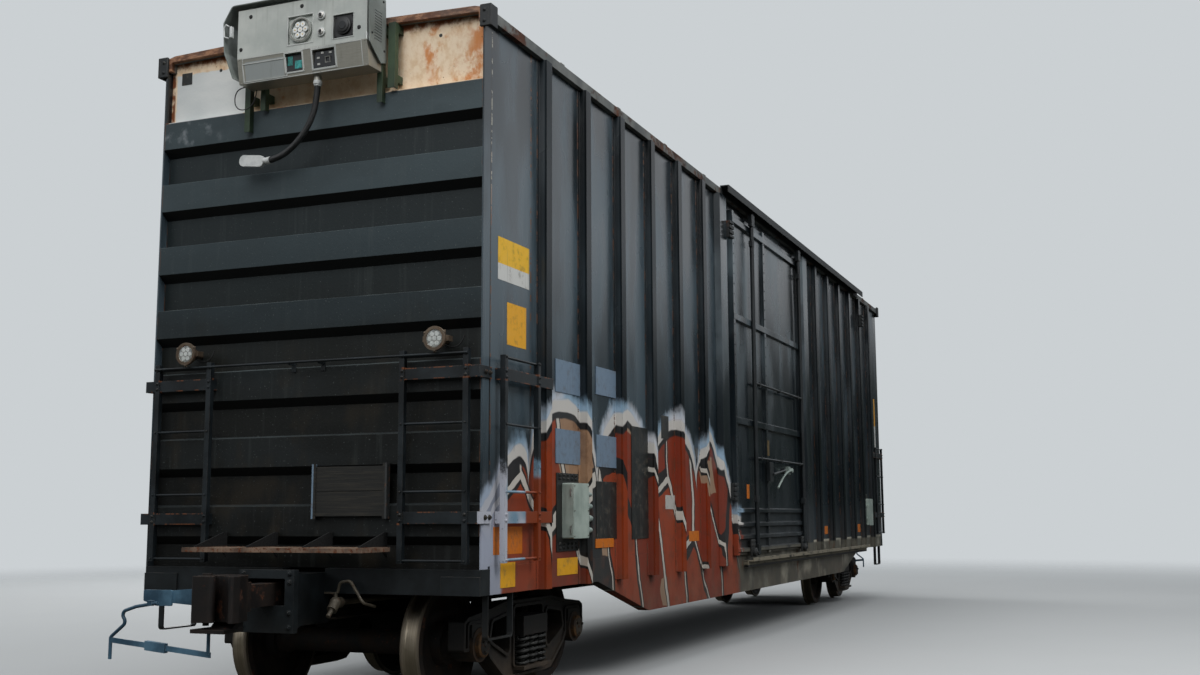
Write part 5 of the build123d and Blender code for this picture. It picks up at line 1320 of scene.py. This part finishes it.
def oneDoorsHangers(bm):
    door = doorFittings
    face, back, low = door["hangerFace"], door["hangerBack"], door["railTop"]
    for x in door["hangers"]:
        boxInto(bm, (x - 0.075, face, low + 0.004), (x + 0.075, back, low + 0.205), 0.006, 2)
        boxInto(bm, (x - 0.045, back, low + 0.12), (x + 0.045, door["sheet"], low + 0.19), 0.004)
        centre = Vector((x, face, low + door["roller"] + 0.006))
        rodInto(bm, centre, centre + Vector((0, -0.036, 0)), door["roller"], 28, None, 0.003)
        rodInto(bm, centre, centre + Vector((0, -0.044, 0)), 0.022, 18, None, 0.002)
        boltInto(bm, centre + Vector((0, -0.042, 0)), (0, -1, 0), 0.011, 6, False)
        for dx in (-0.048, 0.048):
            for dz in (0.135, 0.18):
                boltInto(bm, (x + dx, face, low + dz), (0, -1, 0), 0.010)


def oneDoorsLatch(bm):
    door = doorFittings
    face = door["face"]
    x0, x1, z0, z1 = door["latch"]
    boxInto(bm, (x0, face - 0.010, z0), (x1, face, z1), 0.0015)
    for x in (x0 + 0.014, x1 - 0.014):
        for z in (z0 + 0.014, z1 - 0.014):
            boltInto(bm, (x, face - 0.010, z), (0, -1, 0), 0.005, 6, False)
    boxInto(bm, (x0 + 0.02, face - 0.032, z0 + 0.05), (x1 - 0.02, face - 0.010, z0 + 0.085), 0.003)
    leadInto(bm, [(x, face - 0.036, z) for x, z in door["lever"]], 0.03, 0.0135, 12)
    x, z = door["pivot"]
    rodInto(bm, (x, face - 0.004, z), (x, face - 0.056, z), 0.028, 20, None, 0.003)
    boxInto(bm, (x - 0.05, face - 0.014, z - 0.05), (x + 0.05, door["sheet"], z + 0.05), 0.003)


def oneDoorsTag(bm):
    face = doorFittings["face"]
    x0, x1, z0, z1 = doorFittings["tag"]
    boxInto(bm, (x0, face - 0.004, z0), (x1, face, z1), 0.001)
    for z in (z0 + 0.012, z1 - 0.012):
        boltInto(bm, ((x0 + x1) / 2, face - 0.004, z), (0, -1, 0), 0.004, 6, False)


def makeDoorDetails():
    makeTwice("doorRivets", "trackSteel", oneDoorsRivets)
    makeTwice("doorHangers", "trackSteel", oneDoorsHangers)
    makeTwice("doorLatches", "boxGrey", oneDoorsLatch)
    makeTwice("doorTags", "valveBrass", oneDoorsTag)


# Wheel bearings: three cap screws with their lock plate on each end cap, turning with the wheels
capScrews = {"reach": 1.1315, "circle": 0.052, "size": 0.0135}


def makeCapScrews():
    for end, sign in (("a", -1), ("b", 1)):
        for number, ahead in ((1, 1), (2, -1)):
            bm = bmesh.new()
            x = sign * (carBody["truckX"] + ahead * carBody["halfBase"])
            for side in (-1, 1):
                cap = Vector((x, side * capScrews["reach"], carBody["axleHeight"]))
                out = Vector((0, side, 0))
                rodInto(bm, cap, cap + out * 0.004, capScrews["circle"] + 0.022, 24)
                rodInto(bm, cap + out * 0.003, cap + out * 0.008, 0.018, 12, None, 0.001)
                for dx, dz in onCircle(3, capScrews["circle"], 0.4):
                    boltInto(bm, cap + out * 0.004 + Vector((dx, 0, dz)), out, capScrews["size"], 6, False)
            finishPiece(bm, "capScrews_%s%d" % (end, number), "boltSteel", "wheelset_%s%d" % (end, number))


# Both ends: dark caps at the roof corners and striker bolts. The sensor end also has a plate and holes
# in its upper sheet, and the other end has the bolts of the hand brake's case.
endFittings = {
    "caps": (1.428, 1.500, 4.992, 5.160), "panel": -7.67, "plate": (1.250, 1.350, 4.936, 5.034),
    "holes": ((0.965, 5.014), (-1.052, 5.010)), "striker": (-8.19, 0.195, (0.675, 0.775, 0.985, 1.045)),
    "brakeCase": (7.9397, -0.45, 2.275),
    "caseBolts": ((-0.085, 0.05), (0.085, 0.05), (-0.06, -0.215), (0.06, -0.215), (0.0, 0.155)),
}


def oneEndsCaps(bm):
    near, far, low, high = endFittings["caps"]
    x = endX - 0.026
    for side in (-1, 1):
        y0, y1 = sorted((side * near, side * far))
        boxInto(bm, (x, y0, low), (endX - 0.002, y1, high), 0.004)
        y0, y1 = sorted((side * (far - 0.004), side * (far + 0.022)))
        boxInto(bm, (x, y0, low), (endX + 0.085, y1, high), 0.004)
        for z in (low + 0.04, high - 0.045):
            boltInto(bm, (x, side * (near + far) / 2, z), (-1, 0, 0), 0.011)


def oneEndsStrikerBolts(bm):
    x, y, levels = endFittings["striker"]
    for side in (-1, 1):
        for z in levels:
            boltInto(bm, (x, side * y, z), (-1, 0, 0), 0.016)


def makeEndFittings():
    makeTwice("roofCornerCaps", "trackSteel", oneEndsCaps)
    bm = bmesh.new()
    panel = endFittings["panel"]
    y0, y1, z0, z1 = endFittings["plate"]
    boxInto(bm, (panel - 0.005, y0, z0), (panel + 0.002, y1, z1), 0.001)
    for y, z in endFittings["holes"]:
        discInto(bm, panel + 0.002, panel - 0.0012, y, z, 0.014, 18)
    finishPiece(bm, "endPlateAndHoles", "labelBlack")
    makeTwice("strikerBolts", "blackSteel", oneEndsStrikerBolts)
    bm = bmesh.new()
    x, y, z = endFittings["brakeCase"]
    for dy, dz in endFittings["caseBolts"]:
        boltInto(bm, (x, y + dy, z + dz), (1, 0, 0), 0.011)
    boltInto(bm, (x + 0.062, y, z), (1, 0, 0), 0.022)
    finishPiece(bm, "handBrakeBolts", "boltSteel")


# Roof: rivets through every seam cap
roofSeams = {"count": 13, "width": 0.07, "eave": (1.502, 5.125), "knee": (1.372, 5.151), "ridge": 5.185,
             "rise": 0.022, "rows": (0.10, 0.30, 0.50, 0.70, 0.90, 1.10, 1.30, 1.44)}


def makeRoofRivets():
    seams = roofSeams
    eaveY, eaveZ = seams["eave"]
    kneeY, kneeZ = seams["knee"]
    step = (2 * carBody["halfLength"] - seams["width"]) / (seams["count"] - 1)
    bm = bmesh.new()
    for i in range(seams["count"]):
        x = endX + seams["width"] / 2 + i * step
        for y in seams["rows"]:
            z = kneeZ + (seams["ridge"] - kneeZ) * (kneeY - y) / kneeY
            if y > kneeY:
                z = kneeZ - (kneeZ - eaveZ) * (y - kneeY) / (eaveY - kneeY)
            for side in (-1, 1):
                top = Vector((x, side * y, z + seams["rise"]))
                rodInto(bm, top - Vector((0, 0, 0.003)), top + Vector((0, 0, 0.006)), 0.013, 8, 0.008)
    finishPiece(bm, "roofRivets", "roofSteel")


# Sensor ports: pale collars, silver nuts and dark bores
def makePortRings():
    x = sensorUnit["front"]
    for name, radius, start, end, finish, sides in sensorUnit["rings"]:
        bm = bmesh.new()
        for y, z in sensorUnit["ports"]:
            discInto(bm, x - start, x - end, y, z, radius, sides, None, 0.0008)
        finishPiece(bm, name, finish)


makeLadderBolts()
makeBoxDetails()
makeDoorDetails()
makeCapScrews()
makeEndFittings()
makeRoofRivets()
makePortRings()
print("fittings made")


# Floor, lights and background
stageLook = {"floor": (186, 188, 188), "bounce": (84, 84, 80), "sky": (203, 208, 211), "haze": (46, 52, 50),
             "upperSky": (226, 231, 236), "fadeFrom": 11.0, "fadeTo": 30.0, "fill": 0.62,
             "hazeBand": (0.085, 0.2), "size": 90.0}


def blendInto(output, amount, a, b):
    # Shader a where the amount is 0, shader b where it is 1.
    feed(output.inputs[0], addNode(treeOf(a), "ShaderNodeMixShader", {0: amount, 1: a, 2: b})[0])


def makeFloor():
    bm = bmesh.new()
    bmesh.ops.create_grid(bm, x_segments=2, y_segments=2, size=stageLook["size"])
    mesh = bpy.data.meshes.new("studioFloor")
    bm.to_mesh(mesh)
    bm.free()
    shader, vector = startMaterial("studioFloor")
    tree = shader.id_data
    rays = addNode(tree, "ShaderNodeLightPath")
    darker = tuple(c - 4 for c in stageLook["floor"])
    colour = mixColour(noise(vector, 0.6, 4.0), darker, stageLook["floor"])
    colour = mixColour(rays["Is Camera Ray"], stageLook["bounce"], colour)
    finishShader(shader, colour, 0.95, also={"Specular IOR Level": 0.0})
    # the floor fades away, so that its far edge isn't seen
    away = addNode(tree, "ShaderNodeVectorMath", {0: vector}, operation="LENGTH")["Value"]
    blendInto(tree.nodes["Material Output"], span(away, stageLook["fadeFrom"], stageLook["fadeTo"]),
              Signal(shader.outputs[0]), addNode(tree, "ShaderNodeBsdfTransparent")[0])
    mesh.materials.append(materials["studioFloor"])
    floor = bpy.data.objects.new("studioFloor", mesh)
    scene.collection.objects.link(floor)


def makeSky():
    # The camera sees a plain sky, gloss and fill get a darker band along the horizon.
    world = bpy.data.worlds.new("softSky")
    scene.world = world
    world.use_nodes = True
    tree = world.node_tree
    up = split(addNode(tree, "ShaderNodeTexCoord")["Generated"])[2]
    rays = addNode(tree, "ShaderNodeLightPath")
    light = mixColour(span(up, *stageLook["hazeBand"]), stageLook["haze"], stageLook["upperSky"])
    strength = rays["Is Glossy Ray"] * (1.0 - stageLook["fill"]) + stageLook["fill"]
    fill = tree.nodes["Background"]
    feed(fill.inputs[0], light)
    feed(fill.inputs[1], strength)
    seen = addNode(tree, "ShaderNodeBackground", {0: stageLook["sky"], 1: 1.0})
    direct = calc("MAXIMUM", rays["Is Camera Ray"], rays["Is Transmission Ray"])
    blendInto(tree.nodes["World Output"], direct, Signal(fill.outputs[0]), seen[0])


# name, where it hangs, what it points at, size, watts
studioLamps = [
    ("sideLamp", (-9, -11, 13), (-3, -1.4, 3.4), 9.0, 1100.0),
    ("endLampLight", (-17, -1, 12), (-7.7, 0, 3.6), 8.0, 720.0),
    ("topLamp", (0, 1, 18), (0, 0, 0), 16.0, 1100.0),
    ("backLamp", (10, 14, 12), (0, 0, 2.5), 12.0, 1300.0),
]


def makeLamps():
    for name, place, goal, size, watts in studioLamps:
        data = bpy.data.lights.new(name, "AREA")
        data.shape = "DISK"
        data.size = size
        data.energy = watts
        lamp = bpy.data.objects.new(name, data)
        scene.collection.objects.link(lamp)
        lamp.location = place
        lamp.rotation_euler = (Vector(goal) - Vector(place)).to_track_quat("-Z", "Y").to_euler()


makeFloor()
makeSky()
makeLamps()
scene.view_settings.view_transform = "Standard"
print("stage and lamps made")
